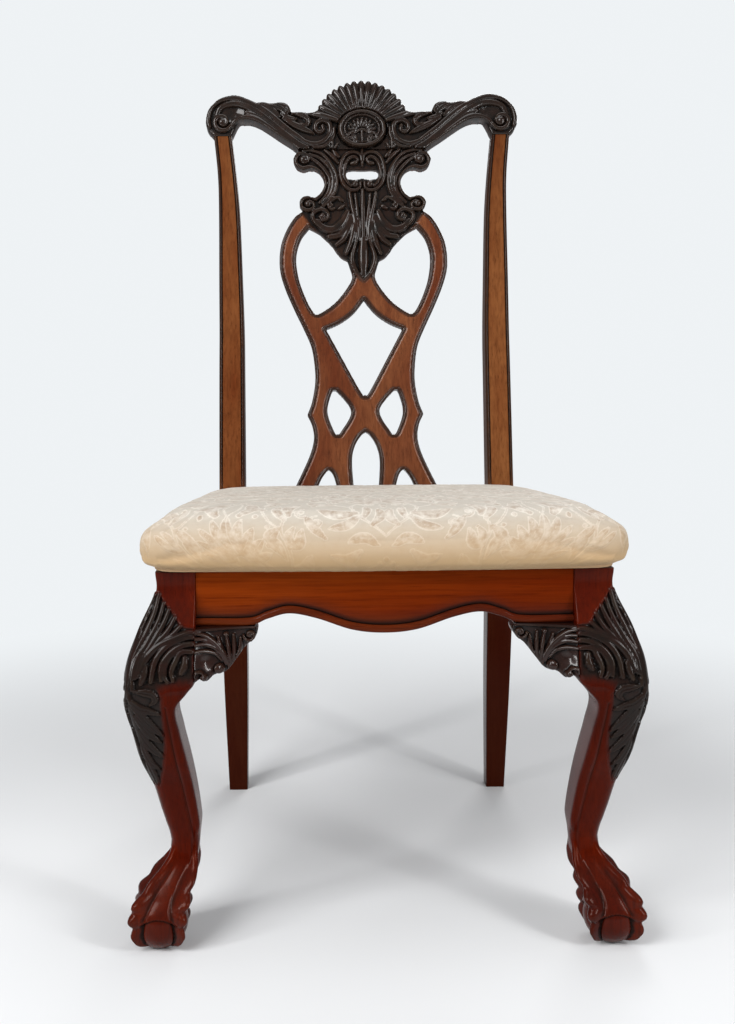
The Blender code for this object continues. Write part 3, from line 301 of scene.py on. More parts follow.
class Nodes:
    """A material's node tree, with one short call for each node."""

    def __init__(self, name):
        self.material = bpy.data.materials.new(name)
        self.material.use_nodes = True
        self.tree = self.material.node_tree
        self.surface = self.tree.nodes["Principled BSDF"]

    def add(self, kind, settings=None, **inputs):
        """Adds a node; an input is a constant or another node's socket, named in lower case."""
        node = self.tree.nodes.new(kind)
        for key, value in (settings or {}).items():
            setattr(node, key, value)
        for key, value in inputs.items():
            self.plug(node, key, value)
        return node

    def plug(self, node, key, value):
        """Sets or links the input whose name is key with underscores for spaces."""
        wanted = key.replace("_", " ").lower()
        if wanted.startswith("slot "):
            socket = node.inputs[int(wanted[5:])]
        else:
            socket = next(s for s in node.inputs if s.name.lower() == wanted and s.enabled)
        if isinstance(value, bpy.types.NodeSocket):
            self.tree.links.new(value, socket)
        else:
            socket.default_value = value

    def finished(self, **inputs):
        """The material, with the inputs of its surface set or linked."""
        for key, value in inputs.items():
            self.plug(self.surface, key, value)
        return self.material

    def mix(self, factor, first, second):
        """Colour between first and second."""
        node = self.add("ShaderNodeMix", {"data_type": "RGBA"}, slot_0=factor, slot_6=first, slot_7=second)
        return node.outputs[2]

    def math(self, operation, first, second=0.0, clamp=False):
        """One sum on numbers."""
        node = self.add("ShaderNodeMath", {"operation": operation, "use_clamp": clamp},
                        slot_0=first, slot_1=second)
        return node.outputs[0]

    def times(self, first, second):
        """Product of two numbers."""
        return self.math("MULTIPLY", first, second)

    def plus(self, first, second):
        """Sum of two numbers."""
        return self.math("ADD", first, second)

    def weight(self, name):
        """A vertex weight of the piece, by name."""
        return self.add("ShaderNodeAttribute", {"attribute_name": name}).outputs["Fac"]

    def noise(self, vector, detail, roughness=0.5):
        """Noise between about 0.3 and 0.7."""
        node = self.add("ShaderNodeTexNoise", vector=vector, scale=1.0, detail=detail, roughness=roughness)
        return node.outputs["Fac"]

    def spread(self, value, low, high):
        """Value stretched so that low is 0 and high is 1, and held between them."""
        return self.add("ShaderNodeMapRange", value=value, from_min=low, from_max=high).outputs[0]

    def scaled(self, vector, scale):
        """Coordinates scaled axis by axis."""
        return self.add("ShaderNodeMapping", vector=vector, scale=scale).outputs[0]

    def stretched(self, scale):
        """Object coordinates scaled axis by axis, so that a pattern runs along a piece."""
        return self.scaled(self.add("ShaderNodeTexCoord").outputs["Object"], scale)


def opaque(colour):
    """A colour with full cover added as its fourth number."""
    return [*colour, 1.0]


def wood_finish(name, along, tint, gloss, sheen=(1.0, 0.35, 0.18)):
    """Lacquered mahogany: fine grain along one axis, slow red and brown clouds and short dark pores. Weights
    of the mesh change it: shaded deepens the red as painted shade, glaze lays a dark glaze over it, and the
    weight for rubbing and painted light turns its ridges brown, as glaze thinned by rubbing with a painted
    highlight, and fills its cuts with black, as glaze left there with painted shade. Bare wood mirrors in the
    sheen's colour, and glaze has a clear coat."""
    look = bpy.context.scene.chair_finish
    nodes = Nodes(name)
    fine = [9.0 if axis == along else 260.0 for axis in "xyz"]
    slow = [2.6 if axis == along else 22.0 for axis in "xyz"]
    grain = nodes.noise(nodes.stretched(fine), 4.0, 0.6)
    cloud = nodes.noise(nodes.stretched(slow), 2.0)
    pores = nodes.spread(nodes.noise(nodes.stretched([2.4 * n for n in fine]), 1.0), 0.60, 0.72)
    pale = opaque(t * c for t, c in zip(tint, look.mahogany_pale))
    deep = opaque(t * c for t, c in zip(tint, look.mahogany_deep))
    colour = nodes.mix(nodes.spread(cloud, 0.32, 0.68), deep, pale)
    streak = nodes.times(nodes.spread(grain, 0.40, 0.66), 0.45)
    colour = nodes.mix(streak, colour, opaque(0.5 * c for c in deep[:3]))
    colour = nodes.mix(nodes.times(pores, 0.35), colour, opaque(0.2 * c for c in deep[:3]))
    colour = nodes.mix(nodes.weight("shaded"), colour, opaque(look.shaded_red))
    glaze, wear_and_painted_light = nodes.weight("glaze"), nodes.weight("wear_and_painted_light")
    blotch = nodes.spread(nodes.noise(nodes.stretched((70.0, 70.0, 70.0)), 4.0, 0.6), 0.30, 0.70)
    cover = nodes.math("MULTIPLY", glaze, nodes.plus(nodes.times(blotch, 0.12), 0.88), True)
    colour = nodes.mix(cover, colour, opaque(look.glaze_dark))
    # Painted highlight: ridges turn brown, partly as glaze thinned by rubbing
    rubbed_and_highlit = nodes.times(nodes.spread(wear_and_painted_light, 0.55, 1.0), nodes.times(blotch, 0.45))
    rubbed_and_highlit = nodes.times(rubbed_and_highlit, cover)
    colour = nodes.mix(rubbed_and_highlit, colour, opaque(look.rubbed_and_highlit_brown))
    # Painted shade: cuts turn black, partly as glaze left in them
    hollow = nodes.spread(wear_and_painted_light, 0.44, 0.12)
    colour = nodes.mix(nodes.times(hollow, 0.92), colour, opaque(look.glaze_and_shade_black))
    rough = nodes.plus(nodes.times(grain, 0.10), look.lacquer_roughness)
    rough = nodes.plus(rough, nodes.times(hollow, 0.30))
    bump = nodes.add("ShaderNodeBump", strength=0.05, distance=0.0006, height=grain).outputs[0]
    bare = nodes.math("SUBTRACT", 1.0, nodes.times(cover, 0.8))
    coated = nodes.plus(nodes.times(cover, 0.85), 0.15)
    return nodes.finished(base_color=colour, roughness=rough, normal=bump,
                          specular_ior_level=nodes.times(bare, 0.5 * gloss),
                          specular_tint=nodes.mix(cover, opaque(sheen), (1.0, 1.0, 1.0, 1.0)),
                          coat_weight=nodes.times(coated, gloss), coat_roughness=0.10)


# Back posts

def post_section():
    """Columns of a post's section: shares of the half width and half depth, offsets from its sides, and the
    depth of the front moulding, which is a rounded strip, a groove and a flat field."""
    inset = np.array([0.3, 0.8, 1.5, 2.3, 3.2, 3.9, 4.3, 4.6, 4.9, 5.2, 5.6, 6.2, 8.0, 11.0]) * MM
    strip = 1.3 * MM * np.clip(np.abs(inset - 2.3 * MM) / (2.3 * MM), 0, 1) ** 2.5 * (inset < 4.6 * MM)
    groove = 1.8 * MM * np.exp(-((inset - 4.9 * MM) / (0.6 * MM)) ** 2)
    field = 0.4 * MM * (inset > 5.0 * MM)
    mould = strip + groove + field
    corner = 1.8 * MM
    softened = corner - np.sqrt(np.clip(corner**2 - np.clip(corner - inset, 0, None) ** 2, 0, None))
    reach = np.array([0.0, 0.4, 1.0, 1.9, 3.0]) * MM
    turned = 3 * MM - np.sqrt(np.clip((3 * MM) ** 2 - (3 * MM - reach) ** 2, 0, None))
    run = np.linspace(-0.8, 0.8, 7)
    zero, one = np.zeros_like, np.ones_like
    front = [(-one(inset), inset, one(inset), -softened, mould)]
    front.append((one(inset), -inset[::-1], one(inset), -softened[::-1], mould[::-1]))
    side = [(one(run), zero(run), -run, zero(run), zero(run))]
    back = [(one(reach), -reach, -one(reach), turned, zero(reach))]
    back.append((-one(reach), reach[::-1], -one(reach), turned[::-1], zero(reach)))
    other = [(-one(run), zero(run), run, zero(run), zero(run))]
    return [np.concatenate(parts) for parts in zip(*(front + side + back + other))]


def post_stations(side):
    """Rows of x, y, z, half width, half depth, lean and moulding up a post: splayed foot, straight stretch at
    the seat rails, then the raked upper part, which narrows and sweeps out to the ears."""
    middle = POST_FRONT + POST_DEPTH / 2
    below = [(0, 1, POST_FOOT_WIDTH, POST_FOOT_DEPTH),
             (0.43 * RAIL_BOTTOM, 0.5, 0.93 * POST_WIDTH, 0.9 * POST_DEPTH),
             (0.78 * RAIL_BOTTOM, 0.12, POST_WIDTH, POST_DEPTH),
             (RAIL_BOTTOM - POST_STRAIGHT, 0, POST_WIDTH, POST_DEPTH),
             (RAIL_TOP + POST_STRAIGHT, 0, POST_WIDTH, POST_DEPTH)]
    rows = [(side * POST_X, middle + POST_FOOT_SPLAY * splay, z, width / 2, depth / 2, 0, 0)
            for z, splay, width, depth in below]
    above = [(0.10, 0, 0, 0.1), (0.34, 0, 0.05, 0.4), (0.46, 0, 0.12, 0.55), (0.60, 0.10, 0.30, 0.7),
             (0.78, 0.25, 0.62, 0.85), (0.89, 0.50, 0.92, 0.95), (1, 1, 1, 1)]
    length = SPLAT_HEIGHT + EAR_STEP - FIT
    for share, sweep, slim, thin in above:
        width = POST_WIDTH + (POST_TOP_WIDTH - POST_WIDTH) * slim
        depth = POST_DEPTH + (POST_TOP_DEPTH - POST_DEPTH) * thin
        x = POST_X + (POST_TOP_X - POST_X) * sweep
        place = lean_back(side * x, share * length, SPLAT_SETBACK * (1 - share) - depth / 2)
        rows.append((*place, width / 2, depth / 2, BACK_RAKE, 1))
    return smooth_path(rows, 14)


def back_post(side):
    """Rings of the section carried up the stations, each turned by the station's lean, with weights for the
    dark moulding, painted shade with glaze in its groove, and painted shade below the seat and under the
    crest."""
    rows = post_stations(side)[:, :, None]
    wide, offset, deep, drop, mould = post_section()
    across = wide * rows[:, 3] + offset
    moulded = np.clip(rows[:, 6], 0, 1)
    ahead = deep * rows[:, 4] + drop - mould * moulded
    lean = np.clip(rows[:, 5], 0, BACK_RAKE)
    y = rows[:, 1] - ahead * np.cos(lean)
    z = np.maximum(rows[:, 2] + ahead * np.sin(lean), 0)
    strip = 0.90 * (mould > 0) * (np.abs(offset) < POST_STRIP) * moulded
    edge = 0.65 * (mould == 0) * moulded
    # Painted shade with glaze in the moulding's groove: the deepest part of the cut is set to turn black
    groove_glaze_and_shade = LEVEL_WEAR_AND_LIGHT - LEVEL_WEAR_AND_LIGHT * np.clip((mould - 0.9 * MM) / (0.6 * MM), 0, 1) * moulded
    below = np.clip((RAIL_TOP - z) / 0.05, 0, 1)
    high = np.clip((z - POST_SHADE_FROM) / POST_SHADE_RUN, 0, 1)
    weights = {"glaze": np.maximum(strip, edge) * (1 - below), "wear_and_painted_light": groove_glaze_and_shade,
               "shaded": np.maximum(0.9 * below, 0.3 * high)}
    return np.stack([rows[:, 0] + across, y, z], -1), weights


# Seat rails

def rail_edge(x):
    """Height of the front rail's lower edge: flat beside the brackets, an arch on either side and a drop in
    the middle, as one smooth curve."""
    flat = RAIL_END - RAIL_FLAT
    half = [(-RAIL_END, 0), (-flat, 0), (-0.86 * flat, 0.55 * RAIL_ARCH), (-0.70 * flat, RAIL_ARCH),
            (-0.50 * flat, 0.55 * RAIL_ARCH), (-0.24 * flat, -0.62 * RAIL_DROP), (0, -RAIL_DROP)]
    edge = smooth_path(half + [(-a, b) for a, b in half[-2::-1]], 12)
    return RAIL_BOTTOM + np.interp(x, edge[:, 0], edge[:, 1])


def front_rail():
    """Rings along x: a face with a softened top, a groove, a round bead along the serpentine edge, and the
    back, with weights that glaze the groove dark and paint shade into it."""
    x = np.linspace(-RAIL_END, RAIL_END, 240)[:, None]
    low = rail_edge(x)
    bead = np.radians(np.linspace(80, -90, BEAD_STEPS))
    soft = EDGE_SOFT
    face_y = np.array([soft, 0.4 * soft, 0, 0, 0, 0, 0, 0.5 * MM, 1.4 * MM])
    face_share = np.array([1, 1, 1, 0.8, 0.55, 0.3, 0.1, 0, 0])
    face_drop = np.array([0, 0.4 * soft, soft, 0, 0, 0, 0, 0, 0])
    above = np.array([0, 0, 0, 0, 0, 0, 1.2, 0.8, 0.3]) * MM
    face_z = low + 2 * BEAD_RADIUS + (RAIL_TOP - low - 2 * BEAD_RADIUS) * face_share - face_drop + above
    bead_z = low + BEAD_RADIUS + BEAD_RADIUS * np.sin(bead)
    back_y = np.array([0.3, 0.7, 1, 1, 1, 1, 0.7, 0.4]) * RAIL_THICKNESS
    back_share = np.array([0, 0, 0, 0.3, 0.7, 1, 1, 1])
    back_z = low + (RAIL_TOP - low) * back_share
    y = FRONT_RAIL_FACE + np.concatenate([face_y, -BEAD_RADIUS * np.cos(bead), back_y]) + 0 * x
    z = np.concatenate([face_z, bead_z, back_z], 1)
    face_glaze = [0.2, 0.1, 0, 0, 0, 0.05, 0.3, 0.8, 1.0]
    glaze = np.concatenate([face_glaze, np.full(BEAD_STEPS, 0.45), np.full(len(back_y), 0.3)]) + 0 * x
    wear_and_painted_light = np.full(z.shape, LEVEL_WEAR_AND_LIGHT)
    # Painted shade with glaze in the groove above the bead
    wear_and_painted_light[:, 6:11] = [0.45, 0.2, 0.05, 0.2, 0.4]
    return np.stack([x + 0 * y, y, z], -1), {"glaze": glaze, "wear_and_painted_light": wear_and_painted_light}


def bar_section(thickness, height):
    """Outline of a rectangular bar with its four long edges softened, as distances across and up."""
    soft = EDGE_SOFT
    turn = np.radians(np.linspace(180, 270, 5))
    arcs = [(soft, soft, 0), (thickness - soft, soft, 90), (thickness - soft, height - soft, 180),
            (soft, height - soft, 270)]
    return np.vstack([np.stack([x + soft * np.cos(turn + math.radians(more)),
                                y + soft * np.sin(turn + math.radians(more))], -1) for x, y, more in arcs])


def level_weights(rings, glaze):
    """Weights of a plain piece: an even glaze and the level weight for rubbing and painted light."""
    return {"glaze": np.full(rings.shape[:2], glaze), "wear_and_painted_light": np.full(rings.shape[:2], LEVEL_WEAR_AND_LIGHT)}


def side_rail(side):
    """Rings of a side rail from the front leg to the back post, its face closing in towards the rear."""
    y = np.linspace(STUMP_BACK + FIT, POST_FRONT - FIT, 8)[:, None]
    share = (y - STUMP_BACK) / (POST_FRONT - STUMP_BACK)
    face = (FRONT_WIDTH + (REAR_WIDTH - FRONT_WIDTH) * share) / 2 - RAIL_RECESS
    across, up = bar_section(RAIL_THICKNESS, RAIL_TOP - RAIL_BOTTOM).T
    x = side * (face - across)
    return np.stack([x, y + 0 * x, RAIL_BOTTOM + up + 0 * x], -1)


def back_rail():
    """Rings of the rear rail from post to post."""
    low, high = BACK_RAIL_BOX
    across, up = bar_section(high.y - low.y, high.z - low.z).T
    x = np.linspace(low.x, high.x, 8)[:, None] + 0 * across
    return np.stack([x, low.y + across + 0 * x, low.z + up + 0 * x], -1)


def splat_shoe():
    """Rings of the shoe along x: a lip at the foot, a hollow face and a top square to the splat."""
    low, high = SHOE_BOX
    lip, cove, slope = 5.5 * MM, 3.8 * MM, math.tan(BACK_RAKE)
    top = high.z - (high.y - low.y - 0.4 * cove) * slope
    face = smooth_path([(low.y, low.z + lip), (low.y + 0.55 * cove, low.z + 1.45 * lip),
                        (low.y + cove, low.z + 2 * lip), (low.y + cove, high.z - 1.6 * lip),
                        (low.y + 0.75 * cove, high.z - 1.1 * lip)], 5)
    profile = np.vstack([[(low.y, low.z)], face, [(low.y + 0.4 * cove, high.z - 0.4 * lip),
                         (high.y, top), (high.y, low.z)]])
    x = np.linspace(low.x, high.x, 8)[:, None] + 0 * profile[:, 0]
    return np.stack([x, profile[:, 0] + 0 * x, profile[:, 1] + 0 * x], -1)


# Carving

def nearest_on(x, y, path):
    """Distance of points to a polyline, the nearest place on it, and the share of its length there."""
    best = np.full(np.shape(x), np.inf)
    place_x, place_y, share = np.zeros_like(best), np.zeros_like(best), np.zeros_like(best)
    steps = np.diff(path, axis=0)
    lengths = np.hypot(steps[:, 0], steps[:, 1])
    total, run = lengths.sum(), 0.0
    for (ax, ay), (dx, dy), length in zip(path, steps, lengths):
        if length > 0:
            t = np.clip(((x - ax) * dx + (y - ay) * dy) / length**2, 0, 1)
            px, py = ax + t * dx, ay + t * dy
            far = np.hypot(x - px, y - py)
            closer = far < best
            best = np.where(closer, far, best)
            place_x, place_y = np.where(closer, px, place_x), np.where(closer, py, place_y)
            share = np.where(closer, (run + t * length) / total, share)
            run += length
    return best, place_x, place_y, share


class Carving:
    """Heights over a surface with two coordinates, in millimetres, raised and cut stroke by stroke."""

    def __init__(self, x, y, ground=0.0):
        self.x, self.y = x, y
        self.height = np.zeros_like(x) + ground

    def window(self, path, reach):
        """Numbers of the points that lie in a path's box widened by a reach."""
        low, high = path.min(0) - reach, path.max(0) + reach
        inside = (self.x > low[0]) & (self.x < high[0]) & (self.y > low[1]) & (self.y < high[1])
        return np.nonzero(inside)

    def reed(self, points, width, height, start=0.5, end=0.5, base=0.0):
        """Raises a broad rounded ridge along a curve, the root of one less the cube of the distance across.
        Its width and height run from the start share at one end over the full size to the end share."""
        path = smooth_path(points, 6)
        at = self.window(path, width)
        far, _, _, share = nearest_on(self.x[at], self.y[at], path)
        size = np.interp(share, [0, 0.35, 0.65, 1], [start, 1, 1, end])
        across = np.clip(far / (width / 2 * size), 0, 1)
        ridge = base + (height - base) * size**0.5 * np.sqrt(1 - across**3)
        self.height[at] = np.where(across < 1, np.maximum(self.height[at], ridge), self.height[at])

    def leaf(self, points, width, height, vein=0.5):
        """Raises a leaf along a curve: a soft swell across with a groove on its middle line, pointed at
        both ends."""
        path = smooth_path(points, 6)
        at = self.window(path, width)
        far, _, _, share = nearest_on(self.x[at], self.y[at], path)
        size = np.sqrt(np.clip(np.sin(math.pi * np.clip(share, 0.06, 0.98)), 0, 1))
        across = np.clip(far / (width / 2 * size), 0, 1)
        swell = height * (1 - across**2) ** 0.6 - vein * np.exp(-((far / 0.7) ** 2))
        self.height[at] = np.where(across < 1, np.maximum(self.height[at], swell), self.height[at])

    def cut(self, points, width, depth):
        """Cuts a groove with a bell-shaped section along a curve."""
        path = smooth_path(points, 6)
        at = self.window(path, 2 * width)
        far = nearest_on(self.x[at], self.y[at], path)[0]
        self.height[at] -= depth * np.exp(-((2 * far / width) ** 2))

    def dome(self, centre, radius, height, base=0.0):
        """Raises a round boss."""
        path = np.array([centre], float)
        at = self.window(path, radius)
        far = np.hypot(self.x[at] - centre[0], self.y[at] - centre[1]) / radius
        boss = base + (height - base) * np.sqrt(np.clip(1 - far**2, 0, 1))
        self.height[at] = np.where(far < 1, np.maximum(self.height[at], boss), self.height[at])

    def dish(self, centre, radius, depth):
        """Hollows a round dish with a bell-shaped section."""
        far = np.hypot(self.x - centre[0], self.y - centre[1]) / radius
        self.height -= depth * np.exp(-(far**2) * 1.6)

    def volute(self, centre, radius, height, turns=1.25, start=0.0, hand=1, width=3.4):
        """Raises a spiral that closes in on a round eye."""
        t = np.linspace(0, 1, 14)
        angle = start + hand * 2 * math.pi * turns * t
        size = radius * (1 - 0.72 * t)
        points = np.stack([centre[0] + size * np.cos(angle), centre[1] + size * np.sin(angle)], -1)
        self.reed(points, width, height, 0.8, 0.7)
        self.dome(centre, 0.34 * radius, height)


def blurred(values, passes):
    """Values averaged with their grid neighbours, several times."""
    for _ in range(passes):
        for axis in (0, 1):
            edge = np.pad(values, [(1, 1) if k == axis else (0, 0) for k in (0, 1)], mode="edge")
            first, last = (edge[:-2], edge[2:]) if axis == 0 else (edge[:, :-2], edge[:, 2:])
            values = (first + 2 * values + last) / 4
    return values


def wear_and_light(height, spread=9, full=1.6):
    """How proud a place stands of its neighbourhood: 0 in cuts, 0.5 on level ground, 1 on ridges. It is the
    weight by which the finish paints shade, with glaze, into the cuts, and a highlight, with rubbing, onto
    the ridges.
    """
    return np.clip(0.5 + 0.5 * (height - blurred(height, spread)) / full, 0, 1)


def crossed(x, y, path):
    """Whether a line from each point towards smaller x crosses a path an odd number of times."""
    odd = np.zeros(x.shape, bool)
    for (ax, ay), (bx, by) in zip(path, path[1:]):
        if ay != by:
            between = (ay > y) != (by > y)
            odd ^= between & (ax + (bx - ax) * (y - ay) / (by - ay) < x)
    return odd


def outline_depth(x, y, halves, loops):
    """How deep points lie inside an outline with openings, drawn on its left half, and the nearest edge.
    Halves are open curves that end on the middle line, and loops are closed ones. Outside is negative."""
    left = -np.abs(x)
    paths = halves + [np.vstack([loop, loop[:1]]) for loop in loops]
    depth = np.full(x.shape, np.inf)
    near_x, near_y = np.zeros_like(x), np.zeros_like(x)
    inside = np.zeros(x.shape, bool)
    for path in paths:
        far, px, py, _ = nearest_on(left, y, path)
        closer = far < depth
        depth = np.where(closer, far, depth)
        near_x, near_y = np.where(closer, px, near_x), np.where(closer, py, near_y)
        inside ^= crossed(left, y, path)
    return np.where(inside, depth, -depth), np.where(x > 0, -near_x, near_x), near_y


def trimmed_plate(x, y, depth, near_x, near_y, front, back, snap, place):
    """Points and faces of a plate cut to its outline, and the numbers of the grid points used. Grid points
    close to the edge are moved onto it, cells with four corners in the outline become quads and those with
    three become triangles, on both faces, and walls close the edges. Front and back are heights in
    millimetres, and place puts points in the world."""
    close = np.abs(depth) < snap
    px, py = np.where(close, near_x, x), np.where(close, near_y, y)
    good = depth > -snap
    rows, columns = x.shape
    cells = grid_quads(rows, columns, closed=False)
    kept = good.ravel()[cells]
    flat_x, flat_y = px.ravel(), py.ravel()

    def turned_right(faces):
        """Those faces that keep their size and turn after the move."""
        fx, fy = flat_x[faces], flat_y[faces]
        area = (fx * np.roll(fy, -1, 1) - fy * np.roll(fx, -1, 1)).sum(1) / 2
        return faces[area > 1e-3]

    quads = turned_right(cells[kept.all(1)])
    three = cells[kept.sum(1) == 3]
    missing = np.argmin(good.ravel()[three], axis=1)
    order = (missing[:, None] + np.arange(1, 4)) % 4
    triangles = turned_right(np.take_along_axis(three, order, axis=1))
    edges = np.vstack([np.stack([faces, np.roll(faces, -1, 1)], -1).reshape(-1, 2)
                       for faces in (quads, triangles)])
    shift = rows * columns
    key = np.sort(edges, axis=1)
    alike = np.unique(key[:, 0] * shift + key[:, 1], return_index=True, return_counts=True)
    rim = edges[alike[1][alike[2] == 1]]
    walls = np.stack([rim[:, 1], rim[:, 0], rim[:, 0] + shift, rim[:, 1] + shift], -1)
    points = np.vstack([place(px * MM, py * MM, height * MM).reshape(-1, 3) for height in (front, back)])
    quads = np.vstack([quads, flipped(quads) + shift, walls])
    triangles = np.vstack([triangles, flipped(triangles) + shift])
    used = np.unique(np.concatenate([quads.ravel(), triangles.ravel()]))
    number = np.zeros(len(points), int)
    number[used] = np.arange(len(used))
    return points[used], number[quads], number[triangles], used


def plate_weights(wear_and_painted_light, glaze, back_glaze, used):
    """Weights of a plate's used points: those of its front, then an even glaze and the level weight for
    rubbing and painted light on its back.
    """
    even = np.ones_like(wear_and_painted_light)
    return {"wear_and_painted_light": np.append(wear_and_painted_light, LEVEL_WEAR_AND_LIGHT * even)[used],
            "glaze": np.append(glaze * even, back_glaze * even)[used]}


def edge_round(depth, radius):
    """How far a surface falls away at a rounded edge: a quarter circle within the radius."""
    inside = np.clip(radius - np.clip(depth, 0, radius), 0, radius)
    return radius - np.sqrt(np.clip(radius**2 - inside**2, 0, None))


def splat_outline():
    """The splat's outline and openings on its left half, in millimetres above the shoe."""
    edge = cornered_path([
        (-112, -1, BEND), (-112, 9, BEND), (-93, 48), (-82, 74), (-77.5, 95), (-80, 114),
        (-87, 130, BEND), (-80, 149), (-75, 178), (-75.5, 205), (-80, 234), (-91, 261), (-106, 293),
        (-120, 327), (-127, 356), (-125, 388), (-116, 413), (-104, 432), (-92, 443), (-96, 452),
        (-94, 462), (-85, 466), (-76, 463), (-67, 467), (-60, 476), (-58, 487), (-62, 499), (-71, 507),
        (-81, 508), (-90, 506), (-100, 511), (-105, 524), (-99, 535), (-88, 538, BEND), (-88, 539)])
    kite = cornered_path([
        (0, 305), (-16, 285), (-36, 270), (-58, 260, BEND), (-34, 215), (-6, 163), (0, 159.5)])
    arch = cornered_path([(0, 104), (-9, 96), (-17, 81), (-21, 60), (-19, 22), (-17, 12, BEND), (0, 12)])
    grip = cornered_path([(0, 494), (-8, 492), (-21, 493), (-25, 500), (-21, 507), (0, 507.5)])
    drop = cornered_path([
        (-82, 417, BEND), (-95, 399), (-102, 372), (-99, 341), (-91, 315), (-80, 291), (-72, 283),
        (-60, 288), (-44, 300), (-30, 316), (-20, 331, BEND), (-17, 342), (-21, 357), (-24, 366, BEND),
        (-33, 371), (-41, 380, BEND), (-46, 388), (-54, 397, BEND), (-66, 408), (-82, 417)])[:-1]
    diamond = smooth_path([
        (-46, 166), (-39, 162), (-21, 135), (-37, 104), (-42, 100.5), (-47, 104), (-57, 134), (-51, 162)],
        6, closed=True)
    side_arch = cornered_path([
        (-42, 12, BEND), (-78, 12, BEND), (-72, 23), (-65, 37), (-56, 46), (-49, 39), (-44, 22),
        (-42, 12)])[:-1]
    return [edge, kite, arch, grip], [drop, diamond, side_arch]


SPLAT_REEDS = {
    "c_edge": (7.5, 3.0, [(72, 460), (62.5, 468), (57.5, 479), (57.5, 490), (62.5, 500), (71.5, 507.5),
                          (81, 510.5), (91.5, 509), (100, 514.5), (101.5, 523), (97, 530.5), (88.5, 532),
                          (82.5, 527.5), (83, 520.5), (89, 517.5)]),
    "c_first": (7.5, 2.2, [(79, 525.5), (68, 517.5), (57.5, 506), (50.5, 493.5), (50, 480.5), (54.5, 468),
                           (65.5, 455)]),
    "c_second": (7, 2.6, [(80.5, 531), (65, 524.5), (52.5, 512.5), (45.5, 498), (44.5, 483.5), (49, 468),
                          (61, 452)]),
    "c_outer": (6.5, 3.2, [(90, 536), (76, 536), (60.5, 530), (48, 515.5), (40.5, 499.5), (39.5, 485),
                           (43.5, 469.5), (53.5, 455), (66, 446), (80, 443)]),
    "lower_ring": (6.5, 3.2, [(72, 460), (79.5, 463.5), (89.5, 461.5), (94, 454), (91, 446.5),
                              (83, 443.5), (75.5, 447), (75, 454), (81, 458)]),
    "hold_outer": (7, 3.2, [(1.5, 520), (3, 529), (10.5, 533.5), (21.5, 532), (29, 524), (33, 510.5),
                            (33.5, 498), (29.5, 485), (21, 476), (11, 474), (4, 478.5), (3, 486.5)]),
    "hold_inner": (7, 2.6, [(8.5, 517), (7, 523), (13.5, 526.5), (21.5, 522), (26.5, 512), (28, 499.5),
                            (24, 488), (17.5, 481)]),
    "top_curl": (7, 3.0, [(17, 516), (11, 516.5), (7.5, 520)]),
    "stem": (6, 2.6, [(0, 538), (0, 526), (0, 512)]),
    "rib": (9, 3.8, [(0, 474), (0, 450), (0, 420), (0, 396)]),
    "fold_one": (8.5, 3.4, [(20, 470), (17, 452), (12.5, 432), (9.5, 412), (10.5, 396), (14.5, 383)]),
    "fold_two": (6.5, 2.8, [(11.5, 468), (9.5, 450), (7, 430), (5.8, 410), (5, 396)]),
    "lobe_one": (14, 3.8, [(70, 426), (60, 416), (45, 413.5), (31, 425), (23.5, 440)]),
    "lobe_two": (11.5, 3.6, [(52, 402), (37, 404.5), (25.5, 417), (19, 434)]),
    "lobe_three": (10.5, 3.6, [(40, 390), (29, 399.5), (20.5, 416), (16.5, 432)]),
    "lobe_low": (10, 3.6, [(26, 376), (19, 393), (14.5, 412), (12.8, 430)]),
    "lobe_four": (7.5, 4.0, [(62, 415), (72, 423.5), (76.5, 434.5), (72, 441.5), (61, 444), (53.5, 438),
                             (54.5, 430.5), (61.5, 427.5), (65.5, 433)]),
    "pendant": (16, 4.2, [(0, 398), (0, 372), (0, 352), (0, 344)]),
    "pendant_side": (9, 3.4, [(13.5, 385), (17, 373), (16.8, 361), (11.5, 348), (5.5, 340), (0, 334)]),
    "inner_curl": (6.5, 2.8, [(30, 458), (37.5, 463), (48, 458), (52, 450.5), (48.5, 444.5), (43, 446)]),
    "lump_low": (6.5, 2.2, [(36.5, 445.5), (32, 448), (28.5, 450)]),
    "lump_high": (6.5, 2.2, [(36, 463), (34, 460), (31.5, 458)]),
    "fan_one": (7, 2.0, [(35.5, 526.5), (40, 531), (45, 537)]),
    "fan_two": (7, 2.2, [(37, 517), (46, 528), (57, 537)]),
}
SPLAT_EYES = [
    ((89.5, 523), 7.0, 2.6), ((83.5, 453.5), 6.0, 2.4), ((11, 484), 6.0, 2.6), ((61, 434.5), 5.5, 2.8),
    ((48, 451), 4.0, 2.2),
]


